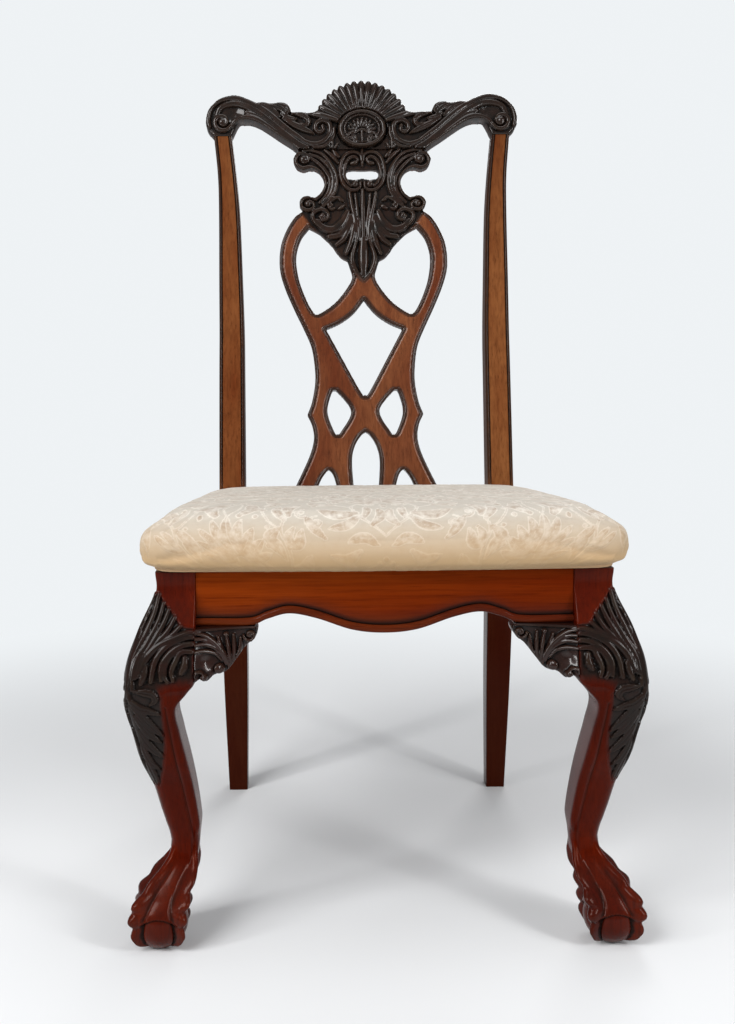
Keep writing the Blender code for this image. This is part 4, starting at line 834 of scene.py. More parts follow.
def carved_splat():
    """The pierced splat: straps with a rounded edge, a groove and a flat field, and above them strapwork
    scrolls and leaves, carved into a sunk ground."""
    x_line = np.arange(-129, 129.01, 1.1)
    x_line = x_line - x_line.mean()
    y_line = np.concatenate([np.linspace(0, 318, 178)[:-1], np.linspace(318, 538, 211)])
    x, y = np.meshgrid(x_line, y_line)
    depth, near_x, near_y = outline_depth(x, y, *splat_outline())
    across = np.abs(x)
    slant = 416 + 1.39 * (across - 77)
    carved = ((y > slant) & (across > 40)) | ((across <= 42) & (y > 331 + across))
    carved = blurred(carved.astype(float), 4)
    bead = 0.9 * np.sqrt(np.clip(1 - ((depth - 2.2) / 2.4) ** 2, 0, 1))
    groove = 1.3 * np.exp(-(((depth - 5.4) / 0.9) ** 2))
    straps = bead - groove - 0.5
    work = Carving(across, y, -3.4)
    for width, height, points in SPLAT_REEDS.values():
        work.reed(points, width, height, 0.7, 0.7, base=-3.0)
    for centre, radius, height in SPLAT_EYES:
        work.dome(centre, radius, height + 0.8, base=-2.0)
    relief = straps * (1 - carved) + work.height * carved
    front = relief - edge_round(depth, 2.0)
    back = -1e3 * SPLAT_THICKNESS + edge_round(depth, 2.5)
    points, quads, triangles, used = trimmed_plate(x, y, depth, near_x, near_y, front, back, 0.55, lean_back)
    # Weight that paints shade into the cuts and a highlight onto the ridges, along with glaze and rubbing
    wear_and_painted_light = wear_and_light(np.where(depth > 0, relief, -2.0), full=2.0)
    strip = 0.90 * np.clip((5.4 - depth) / 0.8, 0, 1)
    return points, quads, triangles, plate_weights(wear_and_painted_light, np.maximum(strip, carved), 0.3, used)


CREST_REEDS = {
    "top": (11, 3.4, [(233, 36), (234.5, 48), (229.5, 66), (217, 76.5), (202, 80.5), (187, 79.5),
                      (172, 74), (156.5, 66), (142.5, 56), (128.5, 44), (114.5, 32), (100.5, 21.5),
                      (86.5, 11.5), (73, 5)]),
    "second": (12, 2.8, [(221.5, 52), (215.5, 65), (202, 71), (186.5, 71), (170.5, 65), (155, 55),
                         (139, 42), (123.5, 29), (107.5, 16.5), (95.5, 8), (83.5, 2)]),
    "third": (10, 2.4, [(176, 58), (156.5, 50), (142.5, 39.5), (128.5, 28), (114.5, 17), (102.5, 8),
                        (91, 1)]),
    "low": (11, 3.2, [(199, 37), (194.5, 44), (184.5, 49), (172.5, 50), (160, 46), (146, 37), (132, 26),
                      (118, 14.5), (106, 6), (96.5, 0.5)]),
    "scroll": (9, 3.8, [(100, 20), (86.5, 11.5), (72.5, 7.5), (60.5, 10.5), (51.5, 18.5), (48, 29),
                        (50.5, 40), (60, 44.5), (69, 40), (71, 31), (65.5, 25.5), (59.5, 29),
                        (60, 35.5)]),
    "scroll_reed": (6.5, 2.8, [(73, 2.5), (60.5, 3), (50, 9.5), (43.5, 20), (42.5, 32.5)]),
    "tulip": (5.5, 2.8, [(45, 0), (45.5, 13), (44.5, 22)]),
    "tulip_out": (5.5, 2.2, [(47.5, 0), (51, 7.5)]),
    "tulip_in": (5.5, 2.2, [(42, 0), (37.5, 7.5)]),
}
CREST_LEAVES = [
    (11, 2.4, [(158, 71), (146, 68), (135.5, 60.5), (125, 50)]),
    (11, 2.6, [(142.5, 69.5), (132, 67.5), (121.5, 62), (113, 51)]),
    (10, 2.8, [(128.5, 70.5), (119.5, 69.5), (112, 65), (112.5, 58.5), (118, 56.5)]),
    (11, 2.4, [(123, 54), (111, 47.5), (99, 46)]),
    (10, 2.8, [(106, 54.5), (97, 54), (88, 51), (81.5, 44), (85, 37), (93.5, 38.5)]),
    (11, 2.4, [(120, 47), (104, 38.5), (88.5, 31), (73, 23)]),
    (9, 2.2, [(81, 54), (70.5, 53), (57, 48)]),
]
SHELL_CENTRE = 31
SHELL_RIBS = 17
SHELL_RADIUS = 72.6
SHELL_SPREAD = math.radians(152)


def crest_outline():
    """The crest rail's outline on its left half, in millimetres above the splat's top."""
    angle = np.linspace(-0.43 * SHELL_SPREAD, 0, 150)
    scallop = np.abs(np.cos(math.pi * angle / SHELL_SPREAD * SHELL_RIBS)) ** 0.7
    rim = SHELL_RADIUS * (1 + 0.055 * (scallop - 0.6))
    shell_edge = np.stack([rim * np.sin(angle), SHELL_CENTRE + rim * np.cos(angle)], -1)
    arm = cornered_path([
        (-99, -1, BEND), (-99, 0, BEND), (-107, 7), (-125, 19), (-142, 31), (-156, 40), (-168, 45),
        (-178, 46), (-188, 44), (-199, 22, BEND), (-226, 22, BEND), (-236, 34), (-238, 46), (-233, 63),
        (-218, 78), (-199, 84), (-186, 83), (-173, 78), (-160, 72, BEND), (-152, 75), (-138, 71),
        (-128, 73), (-114, 70), (-107, 59, BEND), (-98, 57), (-87, 59), (-72, 56, BEND)])
    return [np.vstack([arm, shell_edge])], []


def shell_relief(across, y):
    """Scallop shell: rounded ribs that fan out from a point, on a surface that swells towards the rim."""
    radius = np.hypot(across, y - SHELL_CENTRE) / SHELL_RADIUS
    angle = np.arctan2(across, y - SHELL_CENTRE)
    phase = angle / SHELL_SPREAD * SHELL_RIBS
    rib = np.abs(np.cos(math.pi * phase)) ** 0.55
    inside = (np.abs(angle) < SHELL_SPREAD / 2) & (radius > 0.42) & (radius < 1.08)
    swell = 6.5 * np.clip(np.sin(math.pi * np.clip((radius - 0.30) / 0.86, 0, 1)), 0, 1) ** 0.7
    return np.where(inside, swell + 4.6 * radius * (rib - 0.75), -50.0)


def carved_crest():
    """The crest rail: reeded arms that end in scrolled ears, leaves, a shell and a ringed medallion."""
    x_line = np.linspace(-239, 239, 509)
    y_line = np.linspace(0, 108, 117)
    x, y = np.meshgrid(x_line, y_line)
    depth, near_x, near_y = outline_depth(x, y, *crest_outline())
    across = np.abs(x)
    work = Carving(across, y, -3.2)
    for width, height, points in CREST_LEAVES:
        work.leaf(points, width, 1.4 * height, 0.9)
    for width, height, points in CREST_REEDS.values():
        work.reed(points, width, height, 0.7, 0.7, base=-3.0)
    ear = (213, 42.5)
    work.dish((193, 60), 12, 2.2)
    work.dish(ear, 17, 2.0)
    work.volute(ear, 14.5, 3.4, 1.3, math.radians(-158), 1, 7.0)
    work.dome(ear, 6.0, 4.0)
    shell = shell_relief(across, y)
    medallion = np.hypot(across / 36.5, (y - 30) / 29.5)
    work.height = np.maximum(work.height, shell)
    inner = Carving(across, y, 0.8)
    for k in range(6):
        turn = math.radians(90 - 20 * k)
        root, middle, tip = ((r * math.cos(turn), 25.7 + r * math.sin(turn)) for r in (8, 14, 19.5))
        inner.reed([root, middle, tip], 5.8, 4.6, 0.45, 1.0, base=0.8)
        inner.dome(tip, 2.8, 6.0)
    inner.volute((14.3, 14.4), 9.5, 5.8, 1.2, math.pi / 2, -1, 6.2)
    inner.reed([(0, 28), (4, 27.4), (7, 25)], 4.6, 5.8, 1, 0.8)
    inner.reed([(0, 25), (0, 17), (0, 10)], 5, 4.8, 1, 0.8)
    for bead in ((0, 5.0), (5.5, 5.5), (10.5, 7.0)):
        inner.dome(bead, 2.7, 5.0)
    for middle, half, proud in ((0.89, 0.115, 6.6), (0.72, 0.062, 4.6)):
        ring = np.clip(1 - ((medallion - middle) / half) ** 2, 0, 1)
        inner.height = np.where(ring > 0, np.maximum(inner.height, 0.8 + proud * np.sqrt(ring)), inner.height)
    moat = 4.0 * np.exp(-(((medallion - 1.03) / 0.03) ** 2)) * (y > 2)
    relief = np.where(medallion < 1.005, inner.height, work.height - moat)
    front = 1e3 * CREST_PROUD + relief - edge_round(depth, 3.5)
    back = 1e3 * (CREST_PROUD - CREST_THICKNESS) + edge_round(depth, 6)
    foot = 1e3 * SPLAT_HEIGHT
    points, quads, triangles, used = trimmed_plate(x, y + foot, depth, near_x, near_y + foot, front, back,
                                                   0.5, lean_back)
    # Weight that paints shade into the cuts and a highlight onto the ridges, along with glaze and rubbing
    wear_and_painted_light = wear_and_light(np.where(depth > 0, relief, -2.0), full=2.2)
    return points, quads, triangles, plate_weights(wear_and_painted_light, 1.0, 0.6, used)


# Front legs

KNEE_REEDS = [
    (6.5, 2.4, [(27.5, 398), (34, 378.5), (43.5, 355.5), (51.5, 337), (54, 318), (55.5, 300), (54, 284)]),
    (6.5, 2.4, [(18, 406), (23, 386), (33.5, 362), (45, 341), (50, 319), (51, 303), (48, 292)]),
    (6, 2.2, [(12.5, 397), (18, 378.5), (29, 357.5), (40.5, 339), (45.5, 320), (46, 306)]),
    (6, 2.0, [(6.5, 390), (12.5, 375.5), (23, 357.5), (36, 337.5), (42, 319)]),
    (6, 2.0, [(-0.5, 382), (7.5, 368), (20, 354.5), (33, 336.5), (39.5, 321)]),
    (6, 1.8, [(-7, 373), (3, 363.5), (16.5, 353.5), (28.5, 341), (37, 326)]),
    (6, 2.6, [(38, 324), (30.5, 341), (16.5, 353.5), (-1.5, 361.5), (-14.5, 366), (-24, 366)]),
    (6.5, 2.0, [(25, 315), (21.5, 333.5), (14, 347), (1, 356.5), (-15, 361), (-24, 361)]),
    (6.5, 2.2, [(13.5, 317), (13.5, 331), (7, 342.5), (-4, 351), (-15, 354), (-25, 354)]),
    (6, 2.0, [(7, 315), (10, 321.5), (9.5, 332), (3, 342.5), (-6, 347.5)]),
    (6, 1.8, [(0.5, 316), (2.5, 325.5), (-2, 337), (-8, 346), (-24, 346)]),
    (7, 2.0, [(36, 313), (32.5, 323), (30.5, 331)]),
    (7, 1.8, [(-8, 324), (-12, 332), (-12, 340)]),
]
HUSK_LEAVES = [
    (9, 2.2, [(44, 305), (31.5, 303), (24, 301), (20.5, 295), (26.5, 289)]),
    (10, 2.4, [(50, 296), (38, 285.5), (28.5, 282.5), (16, 278)]),
    (11, 2.4, [(46, 286), (36.5, 277), (26, 264), (14, 252)]),
    (10, 2.4, [(44, 276), (39, 269), (28.5, 254), (16, 244)]),
    (10, 2.2, [(40, 258), (33, 245), (24, 234), (14, 226)]),
    (9, 2.2, [(38, 246), (35.5, 234), (28.5, 219), (19, 210)]),
    (9, 2.0, [(34, 224), (28, 206), (22.5, 187)]),
]
HUSK_EDGE = [(13, 297), (12.5, 266), (12, 238), (15.5, 212), (22.5, 187)]
CALF_GROOVE = [(10, 285), (4.5, 242), (-1.5, 203), (-6.8, 170), (-12.6, 130), (-13.5, 110), (-10, 92)]
FAN_TOP = ([-23, -7, 0, 7, 13, 18, 28], [371, 374, 385, 393, 400, 409, 406])
HUSK_INNER = ([187, 212, 238, 266, 297, 330], [22.5, 15.5, 12, 12.5, 14, 24])
TOE_BUMPS = [
    (0.078, 0.006, 0.0016), (0.058, 0.006, 0.0030), (0.040, 0.006, 0.0030), (0.020, 0.007, 0.0026),
    (0.068, 0.004, -0.0018), (0.049, 0.0035, -0.0024), (0.031, 0.0035, -0.0026),
]
# Shares of the way down, of the outer and inner reach, and what the calf gains outwards and inwards, in
# millimetres
CALF = [(0.10, 0.95, 0.08, 1.0, 0.0), (0.26, 0.77, 0.04, 2.0, 4.5), (0.44, 0.56, 0.26, 4.0, 6.5),
        (0.60, 0.30, 0.50, 4.5, 6.5), (0.77, 0.13, 0.75, 4.5, 5.5), (0.90, 0.02, 0.92, 3.5, 4.0)]
# Heights, and how much the lacquer is shaded there
CALF_SHADE = ([0.08, 0.14, 0.22, 0.26, 0.30, 0.34], [0.0, 0.4, 0.5, 0.75, 0.6, 0.0])


def rounded_square(angle, half, power):
    """Radius of a square with rounded corners: half over the power mean of the cosine and the sine."""
    return half / (np.abs(np.cos(angle)) ** power + np.abs(np.sin(angle)) ** power) ** (1 / power)


def leg_stations():
    """Rows of height, outer and inner reach and roundness up the leg, from the ankle to the stump's top."""
    half = STUMP / 2
    knee = half + KNEE_REACH
    ankle_out, ankle_in = ANKLE_SHIFT + ANKLE_WIDTH / 2, ANKLE_SHIFT - ANKLE_WIDTH / 2
    low = RAIL_BOTTOM - BRACKET_DROP
    rows = [(RAIL_TOP, half, -half, 14), (FAN_TOP_Z, half, -half, 14),
            (RAIL_BOTTOM, half + 0.47 * KNEE_REACH, -half, 7),
            (low + 0.4 * BRACKET_DROP, knee - 0.16 * KNEE_REACH, -half, 5),
            (low, knee - 0.02 * KNEE_REACH, -half, 4.4), (KNEE_Z, knee, -0.62 * half, 4)]
    for way, out, hollow, more_out, more_in in CALF:
        rows.append((KNEE_Z + (ANKLE_Z - KNEE_Z) * way, ankle_out + (knee - ankle_out) * out + more_out * MM,
                     HOLLOW_SHIFT + (ankle_in - HOLLOW_SHIFT) * hollow - more_in * MM, 3.4))
    rows.append((ANKLE_Z, ankle_out + ANKLE_GAIN, ankle_in - ANKLE_GAIN, 3))
    return smooth_path(rows, 16)[::-1]


def foot_stations():
    """Rows of height, shift, web and toe reach up the foot, from the floor to the ankle."""
    run, slim, ball = FOOT_SHIFT - ANKLE_SHIFT, ANKLE_WIDTH / 2, BALL_RADIUS
    rows = [(1, 0, slim, slim), (0.87, 0.06, 1.04 * slim, 1.32 * slim),
            (0.77, 0.20, 1.06 * slim, 1.75 * slim),
            (0.67, 0.46, 1.12 * slim, 0.80 * TOE_REACH), (0.57, 0.72, 0.68 * ball, 0.90 * TOE_REACH),
            (0.48, 0.90, 0.83 * ball, 0.98 * TOE_REACH), (0.38, 1, 0.98 * ball, TOE_REACH),
            (0.27, 1, 1.06 * ball, 0.98 * TOE_REACH), (0.15, 1, ball, 0.90 * TOE_REACH),
            (0.06, 1, ball, 0.70 * TOE_REACH), (0, 1, ball, 0)]
    rows = [(ANKLE_Z * z, ANKLE_SHIFT + run * shift, web, toe) for z, shift, web, toe in rows]
    return np.array(rows)[::-1]


def foot_ring(angle, z):
    """Radius and shift of the foot: the ball, over it a web that ends in an arched lip, and four knuckled
    toes on the diagonals, whose reach falls off as a bell curve to either side and which a groove parts from
    the ball."""
    rows = smooth_path(foot_stations(), 8)
    shift, web, toe = (np.interp(z, rows[:, 0], rows[:, k]) for k in (1, 2, 3))
    ball = np.sqrt(np.clip(BALL_RADIUS**2 - (z + BALL_SINK - BALL_RADIUS) ** 2, 0, None))
    corner = np.abs((angle + 2 * math.pi) % (math.pi / 2) - math.pi / 4)
    lip_z = LIP_Z - LIP_ARCH * (1 - corner / (math.pi / 4)) ** 2
    over = np.clip((z - lip_z) / LIP_EDGE, 0, 1)
    body = ball + np.clip(rounded_square(angle, web, 2.6) - ball, 0, None) * over
    bumps = sum(height * np.exp(-(((z - at) / size) ** 2)) for at, size, height in TOE_BUMPS)
    spread = TOE_SPREAD * np.interp(z, [0, 0.010, 0.022, 0.036, 0.05, 0.08, ANKLE_Z],
                                    [0.20, 0.30, 0.44, 0.66, 0.9, 0.95, 1.2])
    toe = np.where(toe > 0.012, toe + bumps, toe)
    radius = body + np.clip(toe - body, 0, None) * np.exp(-((corner / spread) ** 2.6))
    low = np.clip((0.62 * ANKLE_Z - z) / 0.012, 0, 1)
    valley = TOE_VALLEY * low * np.exp(-(((corner - 1.5 * spread) / (0.35 * spread)) ** 2))
    return radius - valley, shift


def front_leg(side):
    """Rings up a cabriole leg, with the knee's leaves and the husk carved on its front and its outer face,
    which mirror each other about the corner between them, and weights for glaze, for rubbing with painted
    light on the relief and in the creases of the foot, and for shade."""
    angle = np.linspace(0, 2 * math.pi, 216, endpoint=False)[None] - math.pi / 4
    z = np.concatenate([np.linspace(0, ANKLE_Z, 112)[:-1], np.linspace(ANKLE_Z, CARVED_FROM, 36)[:-1],
                        np.linspace(CARVED_FROM, CARVED_TO, 250)[:-1],
                        np.linspace(CARVED_TO, RAIL_TOP, 6)])[:, None]
    rows = leg_stations()
    outer, inner, power = (np.interp(z, rows[:, 0], rows[:, k]) for k in (1, 2, 3))
    foot_radius, foot_shift = foot_ring(angle, np.minimum(z, ANKLE_Z))
    rise = np.clip((z / ANKLE_Z - 0.88) / 0.34, 0, 1)
    rise = rise**2 * (3 - 2 * rise)
    shift = foot_shift + ((outer + inner) / 2 - foot_shift) * rise
    beside = np.clip(1 - 1.6 * np.cos(angle + math.pi / 4), 0, 1)
    near_bracket = np.clip((z - RAIL_BOTTOM + BRACKET_DROP) / 0.012, 0, 1)
    crisp = 9 * np.clip((z - ANKLE_Z) / 0.02, 0, 1) * (1 - near_bracket) + 24 * near_bracket
    power = power + np.clip(crisp - power, 0, None) * beside
    radius = foot_radius + (rounded_square(angle, (outer - inner) / 2, power) - foot_radius) * rise
    x, y = shift + radius * np.cos(angle), -shift + radius * np.sin(angle)
    across = np.minimum(x, -y) / MM
    work = Carving(across, np.broadcast_to(z / MM, across.shape).copy(), 0.0)
    turn = np.abs((angle + math.pi / 4 + math.pi) % (2 * math.pi) - math.pi)
    facing = np.clip((math.radians(100) - turn) / math.radians(12), 0, 1)
    up = work.y
    knee = np.clip((up - 299 - 0.5 * np.clip(16 - across, 0, 12)) / 14, 0, 1)
    knee = knee * np.clip((np.interp(across, *FAN_TOP) - up) / 5, 0, 1)
    low, high = HUSK_INNER[0][0], HUSK_INNER[0][-1]
    husk = np.clip((across - np.interp(up, *HUSK_INNER)) / 2, 0, 1)
    husk = husk * np.clip((up - low) / 6, 0, 1) * (up < high)
    ground = np.maximum(knee, 0.75 * husk)
    work.height = -2.4 * ground
    for width, height, points in KNEE_REEDS:
        work.reed(points, 1.2 * width, 0.95 * height, 0.7, 0.7, base=-2.2)
    for width, height, points in HUSK_LEAVES:
        work.leaf(points, width, 0.55 * height, 0.8)
    work.cut(HUSK_EDGE, 2.4, 1.2)
    work.cut(CALF_GROOVE, 4.0, 1.8)
    relief = work.height * facing
    normal_x = np.sign(np.cos(angle)) * np.abs(np.cos(angle)) ** (power - 1)
    normal_y = np.sign(np.sin(angle)) * np.abs(np.sin(angle)) ** (power - 1)
    size = np.hypot(normal_x, normal_y)
    x, y = x + relief * MM * normal_x / size, y + relief * MM * normal_y / size
    foot = np.clip((0.10 - z) / 0.02, 0, 1)
    # Weight that paints shade into the cuts and the creases of the foot and a highlight onto the ridges,
    # along with glaze and rubbing
    wear_and_painted_light = wear_and_light(relief) * (1 - foot) + wear_and_light(radius / MM, 6, 1.4) * foot
    carved = np.maximum(knee, np.clip((work.height + 0.2) * (up > 300) * (across < 45), 0, 1))
    glaze = blurred(np.maximum(carved, husk) * facing, 3)
    glaze = np.maximum(glaze, 0.30 * foot)
    place = np.stack([side * (STUMP_X + x), STUMP_Y + y, np.broadcast_to(z, x.shape)], -1)
    shaded = np.broadcast_to(np.interp(z, *CALF_SHADE), x.shape)
    return place, {"wear_and_painted_light": wear_and_painted_light, "glaze": glaze, "shaded": shaded}


# Knee brackets

BRACKET_REEDS = [
    (5.5, 2.4, [(-2, -3.5), (8.5, -6), (17.5, -12), (26.5, -21.5), (34, -34.5), (37, -46)]),
    (5.5, 2.0, [(-1, -16.5), (11.5, -16.5), (23, -22.5), (29.5, -30.5), (33, -40)]),
    (5.5, 1.8, [(-1, -10), (9, -11), (19, -17), (27, -27)]),
    (5, 2.0, [(-1, -23.5), (10.5, -23.5), (22, -27.5), (28.5, -35.5)]),
    (4.5, 2.0, [(-2.5, -51.5), (1, -45.5), (6.5, -45.5), (9, -49)]),
    (5, 1.8, [(37, -44), (30, -28), (24.5, -10)]),
    (5, 2.0, [(38.5, -43), (36.5, -27), (33.5, -8)]),
    (5, 1.8, [(40, -41), (42, -27), (41.5, -8.5)]),
    (5, 1.8, [(42, -38), (48, -27), (49.5, -12.5)]),
]
BRACKET_BOSSES = [
    ((26, -44.5), 5.8, 4.0), ((9.5, -52), 4.2, 3.2), ((33.5, -7.5), 3.0, 3.6), ((59.5, -10), 3.2, 4.0),
]


def bracket_edge():
    """The bracket's outline in millimetres along the rail and down from it."""
    long, drop = BRACKET_LENGTH / MM, BRACKET_DROP / MM
    shares = [(0.97, -0.02), (1, -0.12), (0.94, -0.26), (0.80, -0.40), (0.64, -0.64), (0.48, -0.86),
              (0.30, -0.90), (0.18, -1), (0.08, -0.94), (-0.02, -1)]
    return smooth_path([(long * t, drop * d) for t, d in shares], 8)


def knee_bracket(side, place):
    """A carved bracket: a swelling block under the rail, cut to its outline, with leaf folds and a scrolled
    tip. Its swell follows the knee and falls off along the rail as a power of the way left."""
    long, drop = BRACKET_LENGTH / MM, BRACKET_DROP / MM
    t, v = np.meshgrid(np.linspace(-FIT / MM, long + 0.5, 92), np.linspace(-drop - 0.5, 0, 78))
    outline = np.vstack([[(0.97 * long, 2), (0.97 * long, 1)], bracket_edge()])
    far, near_t, near_v, _ = nearest_on(t, v, outline)
    depth = np.where(crossed(-t, v, outline * (-1, 1)), far, -far)
    share = np.clip(1 - t / long, 0, 1)
    stations = leg_stations()
    knee = (np.interp(BRACKET_TOP + v * MM, stations[:, 0], stations[:, 1]) - STUMP / 2) / MM
    swell = 0.94 * knee * share**1.8
    work = Carving(t, v, -2.4)
    for width, height, points in BRACKET_REEDS:
        work.reed(points, width, 1.3 * height, 0.7, 0.7, base=-2.2)
    work.volute((59.5, -10), 7, 3.4, 1.1, math.pi, 1, 4.0)
    work.dish((10, -36.5), 9, 2.0)
    for centre, radius, height in BRACKET_BOSSES:
        work.dome(centre, radius, height)
    lip = np.clip((v + 3.6) / 1.0, 0, 1)
    relief = work.height * (1 - lip) + 1.0 * lip
    front = swell + relief - edge_round(depth, 2.0)
    back = np.full_like(front, -BRACKET_BACK / MM)

    def at_front(run, down, out):
        """World points under the front rail."""
        x = side * (STUMP_X - STUMP / 2 - FIT - run)
        return np.stack([x, STUMP_FRONT - out, BRACKET_TOP + down], -1)

    def at_side(run, down, out):
        """World points under the side rail."""
        return np.stack([side * (FRONT_WIDTH / 2 + out), STUMP_BACK + FIT + run, BRACKET_TOP + down], -1)

    points, quads, triangles, used = trimmed_plate(t, v, depth, near_t, near_v, front, back, 0.4,
                                                   at_front if place == "front" else at_side)
    if (place == "front") == (side > 0):
        quads, triangles = flipped(quads), flipped(triangles)
    # Weight that paints shade into the cuts and a highlight onto the ridges, along with glaze and rubbing
    wear_and_painted_light = wear_and_light(relief)
    return points, quads, triangles, plate_weights(wear_and_painted_light, 0.9, 0.2, used)


# Seat pad

# Damask motifs on the right half of a repeat as wide as given here, in millimetres: stems and leaves with a
# width and points, scrolls and berries with a centre and a radius. The drop is a share of the width.
DAMASK_WIDE = 150
DAMASK_DROP = 1.18
DAMASK_STEMS = [
    (3.2, [(0, -78), (12, -66), (26, -52), (31, -34), (26, -18), (14, -10)]),
    (3.0, [(31, -34), (46, -22), (54, -2), (52, 18), (60, 36), (72, 46)]),
    (2.6, [(52, 18), (42, 28), (34, 42), (36, 58)]),
    (2.2, [(0, 34), (8, 48), (6, 62), (0, 70)]),
]
DAMASK_LEAVES = [
    (13, [(0, -4), (0, 14), (0, 34)]), (12, [(3, -4), (9, 14), (14, 30)]),
    (11, [(4, -5), (17, 8), (26, 21)]), (10, [(5, -7), (20, 0), (33, 9)]),
    (9, [(6, -10), (20, -9), (34, -4)]), (15, [(27, -50), (46, -52), (62, -42)]),
    (12, [(24, -54), (36, -66), (52, -70)]), (13, [(48, -20), (62, -20), (73, -8)]),
    (11, [(54, 0), (66, 4), (72, 18)]), (13, [(50, 20), (40, 10), (41, -4)]),
    (14, [(60, 36), (60, 52), (70, 66)]), (11, [(56, 30), (48, 44), (50, 60)]),
    (12, [(36, 46), (24, 52), (20, 66)]), (10, [(36, 56), (40, 68), (36, 82)]),
    (11, [(12, -66), (4, -54), (6, -40)]), (9, [(20, -58), (16, -44), (18, -32)]),
    (16, [(12, 36), (22, 50), (12, 68)]), (12, [(26, 84), (40, 76), (56, 80)]),
    (11, [(58, -80), (66, -70), (74, -54)]), (10, [(34, 2), (44, 6), (46, -12)]),
    (12, [(8, -88), (20, -80), (36, -84)]), (9, [(64, 20), (58, 10), (62, 0)]),
]
DAMASK_SCROLLS = [((14, -18), 9), ((72, 40), 9), ((64, -62), 8), ((36, 66), 7)]
DAMASK_BERRIES = [
    ((0, 76), 3.4), ((7, 72), 2.6), ((0, -22), 4.2), ((0, -32), 3.2), ((40, 22), 2.6), ((66, -28), 2.8),
    ((28, 34), 2.8), ((22, 42), 2.2),
]


def seat_profile(shrink):
    """Rows of inset and height from the turned-under hem up to the crown, evenly spaced along the cloth."""
    rows = [(0.031, 0.0), (0.022, 0.0006), (0.013, 0.004), (0.006, 0.010), (0.0015, 0.0175), (0.0, 0.026),
            (0.0010, 0.040), (0.0056, 0.0520), (0.0160, 0.0610), (0.037, 0.0665), (0.080, 0.0695),
            (0.145, 0.0704), (SEAT_REACH, 0.0706)]
    curve = smooth_path([(inset + shrink * (height > 0.01), height - shrink * (height > 0.05))
                         for inset, height in rows], 20)
    steps = np.hypot(*np.diff(curve, axis=0).T)
    length = np.concatenate([[0], np.cumsum(steps)])
    even = np.linspace(0, length[-1], SEAT_GRID // 2 + 1)
    return np.interp(even, length, curve[:, 0]), np.interp(even, length, curve[:, 1]), even


def seat_plan(count, corner_radii):
    """Outline of the pad seen from above, from its left front corner round the front: a bowed front, straight
    sides and corners rounded as parabolas to a front and a rear radius, with a quarter of the points on each
    side."""
    low, high = PAD_BOX
    front_x = high.x + SEAT_SWELL
    corners = np.array([(-front_x, low.y + SEAT_BOW), (front_x, low.y + SEAT_BOW),
                        (SEAT_REAR_X, high.y), (-SEAT_REAR_X, high.y)])
    t = np.linspace(0, 1, count, endpoint=False)[:, None]
    sides = []
    for i in range(4):
        here, there = corners[i], corners[(i + 1) % 4]
        length = np.linalg.norm(there - here)
        ahead = (there - here) / length
        line = here + ahead * length * t
        ends = ((here, corners[i - 1], ahead, t), (there, corners[(i + 2) % 4], -ahead, 1 - t))
        for corner, other, way, share in ends:
            radius = corner_radii[0 if corner[1] < 0 else 1]
            into = (other - corner) / np.linalg.norm(other - corner)
            s = 0.5 + 0.5 * np.clip(share * length / radius, 0, 1)
            shift = np.where(s < 1, radius * s**2 - share * length, 0)
            line = line + way * shift + into * radius * (1 - s) ** 2
        if i == 0:
            line = line - np.hstack([0 * t, SEAT_BOW * np.sin(math.pi * t)])
        sides.append(line)
    return np.vstack(sides)


def seat_surface(shrink):
    """The pad as one square cloth: rings of the grid, counted from its edge, take their inset and height from
    the profile, and their place round the plan from where they lie on the square. The plan changes from that
    of the edge to that of the crown, and the upper part is eased. Also gives the cloth's own flat
    coordinates, and how far each point lies from the hem."""
    n = SEAT_GRID
    u, v = np.meshgrid(np.linspace(-1, 1, n + 1), np.linspace(-1, 1, n + 1))
    ring = np.maximum(np.abs(u), np.abs(v))
    safe = np.where(ring == 0, 1, ring)
    a, b = u / safe, v / safe
    side = np.select([b <= -1, a >= 1, b >= 1], [(1 + a) / 2, 1 + (1 + b) / 2, 2 + (1 - a) / 2],
                     3 + (1 - b) / 2)
    inset, height, along = seat_profile(shrink)
    level = (1 - ring) * (len(along) - 1)
    steps = np.arange(len(along))
    depth = np.interp(level, steps, inset)
    place = np.arange(4 * n + 1)
    plans = [seat_plan(n, corners) for corners in (SEAT_CORNERS, SEAT_CROWN_CORNERS)]
    plans = [np.vstack([plan, plan[:1]]) for plan in plans]
    edge, crown = (np.stack([np.interp(side * n, place, plan[:, k]) for k in range(2)], -1) for plan in plans)
    low, high = PAD_BOX
    middle = np.array([0.0, (low.y + SEAT_BOW + high.y) / 2])
    inward = edge + (crown - edge) * np.clip(depth / SEAT_CROWN_RUN, 0, 1)[..., None]
    flat = middle + (inward - middle) * np.clip(1 - depth / SEAT_REACH, 0, None)[..., None]
    z = low.z + np.interp(level, steps, height)
    share = np.clip((flat[..., 1] - low.y) / (high.y - low.y), 0, 1)
    thin = 1 - share**1.5 * SEAT_FALL
    z = np.where(z > SEAT_BOARD_TOP, SEAT_BOARD_TOP + (z - SEAT_BOARD_TOP) * thin, z)
    from_hem = np.interp(level, steps, along)
    cloth = middle + (edge - middle) * ((along[-1] - from_hem) / SEAT_REACH)[..., None]
    surface = np.concatenate([flat, z[..., None]], -1)
    eased = np.stack([blurred(surface[..., k], SEAT_SMOOTH) for k in range(3)], -1)
    upper = np.clip((from_hem - SEAT_EASED_FROM) / SEAT_EASED_RUN, 0, 1)[..., None]
    return surface + (eased - surface) * upper, cloth, from_hem


